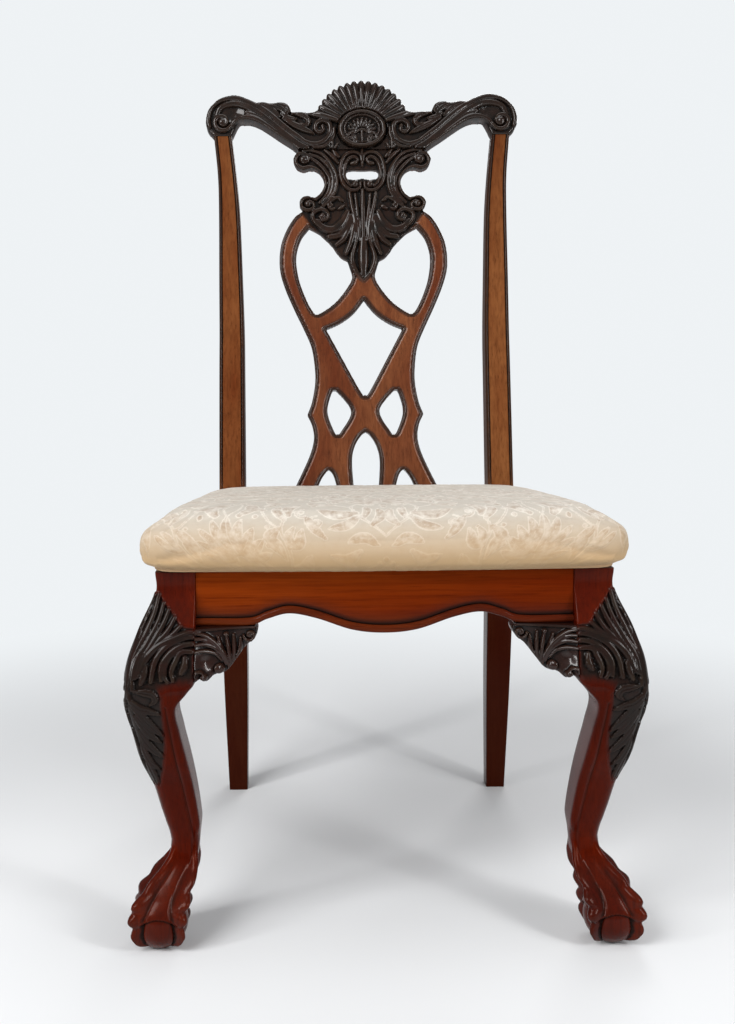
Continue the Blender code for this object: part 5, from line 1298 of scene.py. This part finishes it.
def close_seat(surface):
    """Points and faces of the pad: the cloth's grid, a short inner wall at the hem, and a flat fan that lies
    hidden inside the seat board."""
    rows = surface.shape[0]
    number = np.arange(rows**2).reshape(rows, rows)
    rim = np.concatenate([number[0, :-1], number[:-1, -1], number[-1, :0:-1], number[:0:-1, 0]])
    points = surface.reshape(-1, 3)
    wall = points[rim] + (0, 0, SEAT_HEM_RISE)
    middle = wall.mean(0, keepdims=True)
    first = len(points)
    count = len(rim)
    around = np.arange(count)
    after = (around + 1) % count
    quads = np.vstack([grid_quads(rows, rows, closed=False),
                       np.stack([rim[after], rim, first + around, first + after], -1)])
    fan = np.stack([first + after, first + around, np.full(count, first + count)], -1)
    return np.vstack([points, wall, middle]), quads, fan


def fill_pad(surface, from_hem):
    """The cloth after it is filled by pressure in a cloth simulation, with the hem held and a cap on how far
    any point may move."""
    settings = bpy.context.scene.chair_seat
    points, quads, fan = close_seat(surface)
    mesh = bpy.data.meshes.new("filling")
    mesh.from_pydata(points.tolist(), [], quads.tolist() + fan.tolist())
    bag = bpy.data.objects.new("filling", mesh)
    scene = bpy.context.scene
    scene.collection.objects.link(bag)
    held = np.append(from_hem.ravel() < SEAT_HELD, np.ones(len(points) - from_hem.size, bool))
    group = bag.vertex_groups.new(name="held")
    group.add(np.nonzero(held)[0].tolist(), 1.0, "REPLACE")
    cloth = bag.modifiers.new("filling", "CLOTH")
    physics = cloth.settings
    physics.quality = 5
    physics.mass = 0.3
    physics.tension_stiffness = physics.compression_stiffness = 12
    physics.shear_stiffness = 6
    physics.bending_stiffness = 0.6
    physics.vertex_group_mass = "held"
    physics.use_pressure = True
    physics.uniform_pressure_force = settings.pressure
    physics.effector_weights.gravity = 0
    cloth.collision_settings.use_collision = False
    for number in range(1, settings.frames + 1):
        scene.frame_set(number)
    filled = bag.evaluated_get(bpy.context.evaluated_depsgraph_get()).to_mesh()
    after = np.empty(len(points) * 3, np.float32)
    filled.vertices.foreach_get("co", after)
    scene.frame_set(1)
    bpy.data.objects.remove(bag)
    move = after.reshape(-1, 3)[:from_hem.size].reshape(surface.shape) - surface
    far = np.linalg.norm(move, axis=-1, keepdims=True)
    return surface + move * np.minimum(1, SEAT_MOTION_CAP / np.maximum(far, 1e-9))


def halved(grid):
    """A grid with a point added between each two: a cubic through their four neighbours along each axis."""
    for _ in range(2):
        edge = np.concatenate([2 * grid[:1] - grid[1:2], grid, 2 * grid[-1:] - grid[-2:-1]])
        between = (9 * (edge[1:-2] + edge[2:-1]) - edge[:-3] - edge[3:]) / 16
        made = np.empty((2 * len(grid) - 1, *grid.shape[1:]))
        made[::2], made[1::2] = grid, between
        grid = np.swapaxes(made, 0, 1)
    return grid


def grid_normals(surface):
    """Unit normals of a grid of points, from the cross product of its two directions."""
    normal = np.cross(np.gradient(surface, axis=1), np.gradient(surface, axis=0))
    return normal / np.maximum(np.linalg.norm(normal, axis=-1, keepdims=True), 1e-12)


def make_seat():
    """The padded seat: a square of cloth over the board, filled, then made finer and patterned."""
    surface, cloth, from_hem = seat_surface(SEAT_SHRINK)
    surface = fill_pad(surface, from_hem)
    surface, cloth = halved(surface), halved(cloth)
    figure = damask(cloth[..., 0], cloth[..., 1])
    surface = surface + grid_normals(surface) * (SEAT_EMBOSS * figure)[..., None]
    points, quads, fan = close_seat(surface)
    extra = np.zeros(len(points) - figure.size)
    weights = {"cloth_x": cloth[..., 0], "cloth_y": cloth[..., 1], "figure": figure,
               "from_hem": halved(from_hem)}
    weights = {name: np.append(value, extra) for name, value in weights.items()}
    piece = put_piece("seat_pad", points, quads, fabric_finish(), ["seat_cover", "seat_foam"],
                      fan, crease=60, weights=weights)


def damask(x, y):
    """Weight of the woven figure, from 0 on the ground over 0.4 on its light edge to 1 inside a motif. Motifs
    are drawn on the right half of one repeat, scaled to its width and mirrored, and every other column lies
    half a drop lower."""
    wide = 1e3 * bpy.context.scene.chair_seat.repeat
    tall = DAMASK_DROP * wide
    column = np.floor(1e3 * x / wide + 0.5)
    across = np.abs(1e3 * x - column * wide)
    up = np.mod(1e3 * y + tall / 2 * np.mod(column, 2) + tall / 2, tall) - tall / 2
    size = wide / DAMASK_WIDE
    work = Carving(across / size, up / size)
    for width, points in DAMASK_STEMS:
        work.reed(points, width, 0.75, 0.7, 0.5)
    for width, points in DAMASK_LEAVES:
        work.leaf(points, width, 1.3, 0.75)
    for centre, radius in DAMASK_SCROLLS:
        work.volute(centre, radius, 0.8, 1.2, math.pi / 2, -1, 0.34 * radius)
    for centre, radius in DAMASK_BERRIES:
        work.dome(centre, radius, 1.2)
    return np.clip(work.height, 0, 1)


def fabric_finish():
    """Woven damask: a matt ground, a light edge and a deeper mottled fill to each motif, crossed threads at
    their real scale, and painted warm bounce light and shade towards the hem."""
    look = bpy.context.scene.chair_finish
    nodes = Nodes("seat_damask")
    x, y, figure = nodes.weight("cloth_x"), nodes.weight("cloth_y"), nodes.weight("figure")
    flat = nodes.add("ShaderNodeCombineXYZ", x=x, y=y).outputs[0]
    warp = nodes.add("ShaderNodeTexWave", {"bands_direction": "X"}, vector=flat, scale=260.0,
                     distortion=0.6, detail=1.0, detail_scale=2.0).outputs["Fac"]
    weft = nodes.add("ShaderNodeTexWave", {"bands_direction": "Y"}, vector=flat, scale=210.0,
                     distortion=0.8, detail=1.0, detail_scale=2.0).outputs["Fac"]
    thread = nodes.plus(nodes.times(warp, 0.6), nodes.times(weft, 0.4))
    slub = nodes.noise(nodes.scaled(flat, (14.0, 260.0, 1.0)), 2.0)
    mottle = nodes.noise(nodes.scaled(flat, (90.0, 90.0, 1.0)), 4.0, 0.6)
    ground, line = opaque(look.fabric_ground), opaque(look.fabric_line)
    fill = nodes.times(nodes.spread(figure, 0.45, 0.85), nodes.spread(mottle, 0.30, 0.66))
    colour = nodes.mix(nodes.spread(figure, 0.05, 0.40), ground, line)
    colour = nodes.mix(fill, colour, opaque(look.fabric_figure))
    colour = nodes.mix(nodes.times(nodes.spread(mottle, 0.45, 0.75), 0.30), colour,
                       opaque(look.fabric_figure))
    shade = nodes.plus(nodes.times(thread, 0.12), nodes.times(slub, 0.12))
    colour = nodes.mix(shade, colour, (0.34, 0.24, 0.15, 1.0))
    # Painted warm bounce light and shade near the hem
    warm = nodes.times(nodes.spread(nodes.weight("from_hem"), 0.090, 0.032), 0.9)
    colour = nodes.mix(warm, colour, opaque(look.fabric_painted_bounce))
    relief = nodes.plus(nodes.times(thread, 0.35), figure)
    bump = nodes.add("ShaderNodeBump", strength=0.45, distance=0.0007, height=relief).outputs[0]
    rough = nodes.math("SUBTRACT", 0.86, nodes.times(figure, 0.16))
    return nodes.finished(base_color=colour, roughness=rough, normal=bump, sheen_weight=0.10,
                          specular_ior_level=0.22)


# Underside

def plain_finish(name, pale, deep, stretch, rough, metal=0.0):
    """Two tones mixed by a stretched noise, which also gives a slight bump."""
    nodes = Nodes(name)
    grain = nodes.noise(nodes.stretched(stretch), 4.0, 0.6)
    bump = nodes.add("ShaderNodeBump", strength=0.15, distance=0.0005, height=grain).outputs[0]
    return nodes.finished(base_color=nodes.mix(nodes.spread(grain, 0.3, 0.7), opaque(pale), opaque(deep)),
                          roughness=nodes.plus(nodes.times(grain, 0.15), rough), normal=bump, metallic=metal)


def dust_sheet():
    """The black cloth under the seat: a grid that narrows to the rear, hangs a little in the middle and is
    puckered along its front and rear edges."""
    count = 48
    low, high = DUST_BOX
    u, v = np.meshgrid(np.linspace(-1, 1, count + 1), np.linspace(0, 1, count + 1))
    ease = 1 - 0.012 * np.clip(np.abs(u) * 4 - 3, 0, 1) ** 2
    front_x, rear_x = high.x, high.x * SEAT_REAR_X / PAD_BOX[1].x
    x = u * (front_x + (rear_x - front_x) * v)
    y = low.y + (high.y - low.y) * (0.5 + (v - 0.5) * ease)
    hang = DUST_HANG * np.sin(math.pi * v) * np.cos(u * math.pi / 2)
    pucker = DUST_PUCKER * np.cos(u * 38) * np.clip(np.abs(2 * v - 1) * 3 - 2, 0, 1)
    z = (low.z + high.z) / 2 - hang - np.abs(pucker)
    return np.stack([x, y, z], -1).reshape(-1, 3), flipped(grid_quads(count + 1, count + 1, closed=False))


def make_underside():
    """Dust cover as a thin sheet, and finishes for the hidden wood and metal."""
    cambric = plain_finish("black_cambric", (0.020, 0.020, 0.022), (0.034, 0.033, 0.034),
                           (900.0, 900.0, 60.0), 0.85)
    points, quads = dust_sheet()
    cover = put_piece("dust_cover_sheet", points, quads, cambric, ["dust_cover"])
    wall = cover.modifiers.new("thickness", "SOLIDIFY")
    wall.thickness = DUST_THICKNESS
    wall.offset = 1.0
    pine = plain_finish("block_pine", (0.42, 0.27, 0.13), (0.30, 0.17, 0.07), (60.0, 8.0, 60.0), 0.6)
    beech = plain_finish("dowel_beech", (0.50, 0.34, 0.19), (0.38, 0.23, 0.12), (120.0, 120.0, 120.0), 0.6)
    steel = plain_finish("screw_steel", (0.42, 0.41, 0.39), (0.30, 0.29, 0.27), (300.0, 300.0, 300.0), 0.3, 1)
    plywood = plain_finish("seat_plywood", (0.46, 0.31, 0.17), (0.36, 0.23, 0.12), (10.0, 90.0, 900.0), 0.65)
    starts = {"corner_block": pine, "block_screw": steel, "seat_screw": steel, "dowel": beech,
              "seat_board": plywood}
    for node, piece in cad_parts.items():
        for start, finish in starts.items():
            if node.startswith(start):
                piece.data.materials.clear()
                piece.data.materials.append(finish)


# Stage

def linked(name, data):
    """A new object in the scene."""
    new = bpy.data.objects.new(name, data)
    bpy.context.scene.collection.objects.link(new)
    return new


def make_floor(paper):
    """A wide pale floor that fades into the paper's colour away from the chair where the camera sees it."""
    half = FLOOR_HALF
    mesh = bpy.data.meshes.new("floor")
    mesh.from_pydata([(-half, -half, 0), (half, -half, 0), (half, half, 0), (-half, half, 0)], [],
                     [(0, 1, 2, 3)])
    nodes = Nodes("floor_paper")
    where = nodes.add("ShaderNodeTexCoord").outputs["Object"]
    far = nodes.add("ShaderNodeVectorMath", {"operation": "LENGTH"}, vector=where).outputs["Value"]
    fade = nodes.add("ShaderNodeMapRange", {"interpolation_type": "SMOOTHSTEP"}, value=far,
                     from_min=FLOOR_FADE[0], from_max=FLOOR_FADE[1]).outputs[0]
    seen = nodes.add("ShaderNodeLightPath").outputs["Is Camera Ray"]
    plain = nodes.add("ShaderNodeEmission", color=paper, strength=1.0).outputs[0]
    blend = nodes.add("ShaderNodeMixShader", slot_0=nodes.times(fade, seen), slot_1=nodes.surface.outputs[0],
                      slot_2=plain)
    nodes.tree.links.new(blend.outputs[0], nodes.tree.nodes["Material Output"].inputs[0])
    mesh.materials.append(nodes.finished(base_color=[0.78, 0.79, 0.80, 1.0], roughness=0.7,
                                         specular_ior_level=0.2))
    floor = linked("floor", mesh)


def make_world(paper):
    """A world that the camera sees as plain paper and that lights the chair softly."""
    world = bpy.data.worlds.new("studio")
    bpy.context.scene.world = world
    world.use_nodes = True
    tree = world.node_tree
    tree.nodes.clear()
    choose = tree.nodes.new("ShaderNodeMixShader")
    for place, colour, strength in ((1, [0.95, 0.97, 1.0, 1.0], WORLD_LIGHT), (2, paper, 1.0)):
        sky = tree.nodes.new("ShaderNodeBackground")
        sky.inputs["Color"].default_value = colour
        sky.inputs["Strength"].default_value = strength
        tree.links.new(sky.outputs[0], choose.inputs[place])
    rays = tree.nodes.new("ShaderNodeLightPath")
    tree.links.new(rays.outputs["Is Camera Ray"], choose.inputs[0])
    tree.links.new(choose.outputs[0], tree.nodes.new("ShaderNodeOutputWorld").inputs[0])


def make_lamps():
    """Four soft lamps and two thin strips, all aimed at the seat."""
    for name, (place, power, size) in LAMPS.items():
        data = bpy.data.lights.new(name, "AREA")
        data.energy = power
        data.shape = "RECTANGLE"
        data.size, data.size_y = size
        lamp = linked(name, data)
        lamp.location = place
        lamp.rotation_euler = (Vector(AIM) - Vector(place)).to_track_quat("-Z", "Y").to_euler()


def make_camera(stage):
    """The photograph's camera: turned by yaw, pitch and roll, with the lens shifted."""
    data = bpy.data.cameras.new("camera")
    data.sensor_fit = "VERTICAL"
    data.sensor_height = SENSOR_HEIGHT
    data.lens = stage.lens
    data.shift_x, data.shift_y = CAMERA_SHIFT
    camera = linked("camera", data)
    pitch, yaw = stage.pitch, stage.yaw
    ahead = Vector((math.sin(yaw) * math.cos(pitch), math.cos(yaw) * math.cos(pitch), -math.sin(pitch)))
    right = Vector((math.cos(yaw), -math.sin(yaw), 0))
    up = right.cross(ahead)
    turn = Matrix((right, up, -ahead)).transposed().to_4x4() @ Matrix.Rotation(stage.roll, 4, "Z")
    camera.matrix_world = Matrix.Translation(Vector(stage.camera_place)) @ turn
    bpy.context.scene.camera = camera


def make_stage():
    """A pale floor and background, soft lamps, and the photograph's camera."""
    scene = bpy.context.scene
    paper = opaque(scene.chair_stage.paper)
    make_floor(paper)
    make_world(paper)
    make_lamps()
    make_camera(scene.chair_stage)
    scene.view_settings.view_transform = "Standard"


# Settings that a user would change

def colour_setting(name, description, default):
    """One colour, in linear light."""
    return bpy.props.FloatVectorProperty(name=name, description=description, default=default,
                                         subtype="COLOR", min=0.0, max=1.0)


def length_setting(name, description, default):
    """One length in metres."""
    return bpy.props.FloatProperty(name=name, description=description, default=default,
                                   subtype="DISTANCE", unit="LENGTH")


class ChairFinish(bpy.types.PropertyGroup):
    """Colours and gloss of the chair."""
    mahogany_pale: colour_setting("Pale mahogany", "Lighter bands of the lacquered wood",
                                  (0.215, 0.066, 0.019))
    mahogany_deep: colour_setting("Deep mahogany", "Darker bands of the lacquered wood",
                                  (0.120, 0.024, 0.006))
    glaze_dark: colour_setting("Dark glaze", "Glaze over the carved surfaces", (0.011, 0.0085, 0.007))
    shaded_red: colour_setting("Shaded red", "Lacquer on shaded wood, such as the rear legs",
                               (0.026, 0.0016, 0.0009))
    # Brown of the ridges: glaze thinned by rubbing, and a painted highlight
    rubbed_and_highlit_brown: colour_setting("Rubbed brown", "Ridges where the glaze is rubbed thin",
                                 (0.060, 0.034, 0.019))
    # Black of the deepest cuts: glaze left there, and painted shade
    glaze_and_shade_black: colour_setting("Groove black", "Glaze left in the deepest cuts", (0.003, 0.002, 0.0015))
    lacquer_roughness: bpy.props.FloatProperty(
        name="Lacquer roughness", description="Roughness of the lacquer", default=0.20, min=0.0, max=1.0,
        subtype="FACTOR")
    fabric_ground: colour_setting("Fabric ground", "Ground of the damask", (0.560, 0.520, 0.455))
    fabric_line: colour_setting("Fabric line", "Light edge of the damask's motifs", (0.74, 0.70, 0.63))
    fabric_figure: colour_setting("Fabric figure", "Fill of the damask's motifs", (0.42, 0.34, 0.27))
    # Painted warm bounce light and shade on the damask towards the hem
    fabric_painted_bounce: colour_setting("Fabric warm", "Warmer tone of the damask towards the hem",
                                (0.44, 0.285, 0.135))


class ChairSeat(bpy.types.PropertyGroup):
    """Padding of the seat."""
    pressure: bpy.props.FloatProperty(name="Pressure", description="Air pressure that fills the pad",
                                      default=4.0, min=0.0)
    frames: bpy.props.IntProperty(name="Frames", description="Frames for which the pad fills", default=20,
                                  min=1)
    repeat: length_setting("Repeat", "Width of one repeat of the damask", 0.182)


class ChairStage(bpy.types.PropertyGroup):
    """Camera, and the colour of the floor and the background."""
    camera_place: bpy.props.FloatVectorProperty(name="Camera", description="Where the camera stands",
                                                default=(-0.0777, -1.5345, 0.6602), subtype="TRANSLATION",
                                                unit="LENGTH")
    pitch: bpy.props.FloatProperty(name="Pitch", description="How far the camera looks down",
                                   default=math.radians(5.86), subtype="ANGLE")
    yaw: bpy.props.FloatProperty(name="Yaw", description="How far the camera turns right",
                                 default=math.radians(0.48), subtype="ANGLE")
    roll: bpy.props.FloatProperty(name="Roll", description="How far the camera tilts",
                                  default=math.radians(-0.49), subtype="ANGLE")
    lens: bpy.props.FloatProperty(name="Lens", description="Focal length in millimetres", default=40.43)
    paper: colour_setting("Paper", "Colour of the floor and the background", (0.86, 0.89, 0.91))


# Operators

class CHAIR_OT_back_posts(bpy.types.Operator):
    """Make the two moulded back posts"""
    bl_idname = "chair.back_posts"
    bl_label = "Back posts"

    def execute(self, context):
        finish = wood_finish("post_mahogany", "z", (0.98, 1.16, 1.3), 0.20)
        for word, side in SIDES.items():
            put_loft(f"back_post_{word}_moulded", *back_post(side), finish, "mahogany", f"back_post_{word}")
        return {"FINISHED"}


class CHAIR_OT_seat_rails(bpy.types.Operator):
    """Make the beaded front rail, the plain rails and the shoe"""
    bl_idname = "chair.seat_rails"
    bl_label = "Seat rails"

    def execute(self, context):
        finish = wood_finish("rail_mahogany", "x", (1.0, 0.50, 0.15), 0.12)
        put_loft("front_rail_beaded", *front_rail(), finish, "mahogany", "front_rail")
        sides = wood_finish("side_rail_mahogany", "y", (0.85, 0.45, 0.18), 0.12)
        plain = {"side_rail_left": (side_rail(-1), sides), "side_rail_right": (side_rail(1), sides),
                 "back_rail": (back_rail(), finish), "splat_shoe": (splat_shoe(), finish)}
        for node, (rings, look) in plain.items():
            put_loft(f"{node}_softened", rings, level_weights(rings, 0.15), look, "mahogany", node,
                     mirrored=node != "side_rail_left")
        return {"FINISHED"}


class CHAIR_OT_front_legs(bpy.types.Operator):
    """Make the two carved cabriole legs with their claw feet"""
    bl_idname = "chair.front_legs"
    bl_label = "Front legs"

    def execute(self, context):
        finish = wood_finish("leg_mahogany", "z", (0.50, 0.13, 0.06), 0.24)
        for word, side in SIDES.items():
            put_loft(f"front_leg_{word}_carved", *front_leg(side), finish, "carved_mahogany",
                     f"front_leg_{word}", crease=50, mirrored=side < 0)
        return {"FINISHED"}


class CHAIR_OT_knee_brackets(bpy.types.Operator):
    """Make the four carved knee brackets"""
    bl_idname = "chair.knee_brackets"
    bl_label = "Knee brackets"

    def execute(self, context):
        finish = wood_finish("bracket_mahogany", "x", (0.46, 0.18, 0.10), 0.55)
        for word, side in SIDES.items():
            for place in ("front", "side"):
                node = f"knee_bracket_{place}_{word}"
                put_plate(f"{node}_carved", knee_bracket(side, place), finish, node)
        return {"FINISHED"}


class CHAIR_OT_splat(bpy.types.Operator):
    """Make the pierced and carved splat"""
    bl_idname = "chair.splat"
    bl_label = "Splat"

    def execute(self, context):
        finish = wood_finish("splat_mahogany", "z", (0.90, 0.98, 1.28), 0.50, (1.0, 0.9, 0.8))
        put_plate("splat_carved", carved_splat(), finish, "splat")
        return {"FINISHED"}


class CHAIR_OT_crest(bpy.types.Operator):
    """Make the carved crest rail with its shell and medallion"""
    bl_idname = "chair.crest"
    bl_label = "Crest rail"

    def execute(self, context):
        finish = wood_finish("crest_mahogany", "x", (0.60, 0.60, 0.70), 0.65)
        put_plate("crest_rail_carved", carved_crest(), finish, "crest_rail")
        return {"FINISHED"}


class CHAIR_OT_seat(bpy.types.Operator):
    """Make the padded seat and fill it by a cloth simulation"""
    bl_idname = "chair.seat"
    bl_label = "Seat"

    def execute(self, context):
        make_seat()
        return {"FINISHED"}


class CHAIR_OT_underside(bpy.types.Operator):
    """Make the dust cover, and finish the blocks, screws, dowels and the board"""
    bl_idname = "chair.underside"
    bl_label = "Underside"

    def execute(self, context):
        make_underside()
        return {"FINISHED"}


class CHAIR_OT_stage(bpy.types.Operator):
    """Make the floor, the light and the camera"""
    bl_idname = "chair.stage"
    bl_label = "Stage"

    def execute(self, context):
        make_stage()
        return {"FINISHED"}


PIECE_OPERATORS = (CHAIR_OT_back_posts, CHAIR_OT_seat_rails, CHAIR_OT_front_legs, CHAIR_OT_knee_brackets,
                   CHAIR_OT_splat, CHAIR_OT_crest, CHAIR_OT_seat, CHAIR_OT_underside, CHAIR_OT_stage)


class CHAIR_PT_panel(bpy.types.Panel):
    """Lists the settings and the operators of the chair"""
    bl_idname = "CHAIR_PT_panel"
    bl_label = "Carved dining chair"
    bl_space_type = "VIEW_3D"
    bl_region_type = "UI"
    bl_category = "Chair"

    def draw(self, context):
        scene = context.scene
        for settings in (scene.chair_finish, scene.chair_seat, scene.chair_stage):
            box = self.layout.box()
            for key in settings.__annotations__:
                box.prop(settings, key)
        for operator in PIECE_OPERATORS:
            self.layout.operator(operator.bl_idname)


SETTINGS = {"chair_finish": ChairFinish, "chair_seat": ChairSeat, "chair_stage": ChairStage}
CLASSES = (*SETTINGS.values(), *PIECE_OPERATORS, CHAIR_PT_panel)


def register():
    """Registers the classes and hangs the settings on the scene."""
    for each in CLASSES:
        bpy.utils.register_class(each)
    for key, group in SETTINGS.items():
        setattr(bpy.types.Scene, key, bpy.props.PointerProperty(type=group))


def unregister():
    """Takes the settings and the classes away again."""
    for key in SETTINGS:
        delattr(bpy.types.Scene, key)
    for each in reversed(CLASSES):
        bpy.utils.unregister_class(each)


def main():
    register()
    for operator in PIECE_OPERATORS:
        group, name = operator.bl_idname.split(".")
        getattr(getattr(bpy.ops, group), name)()


if __name__ == "__main__":
    main()
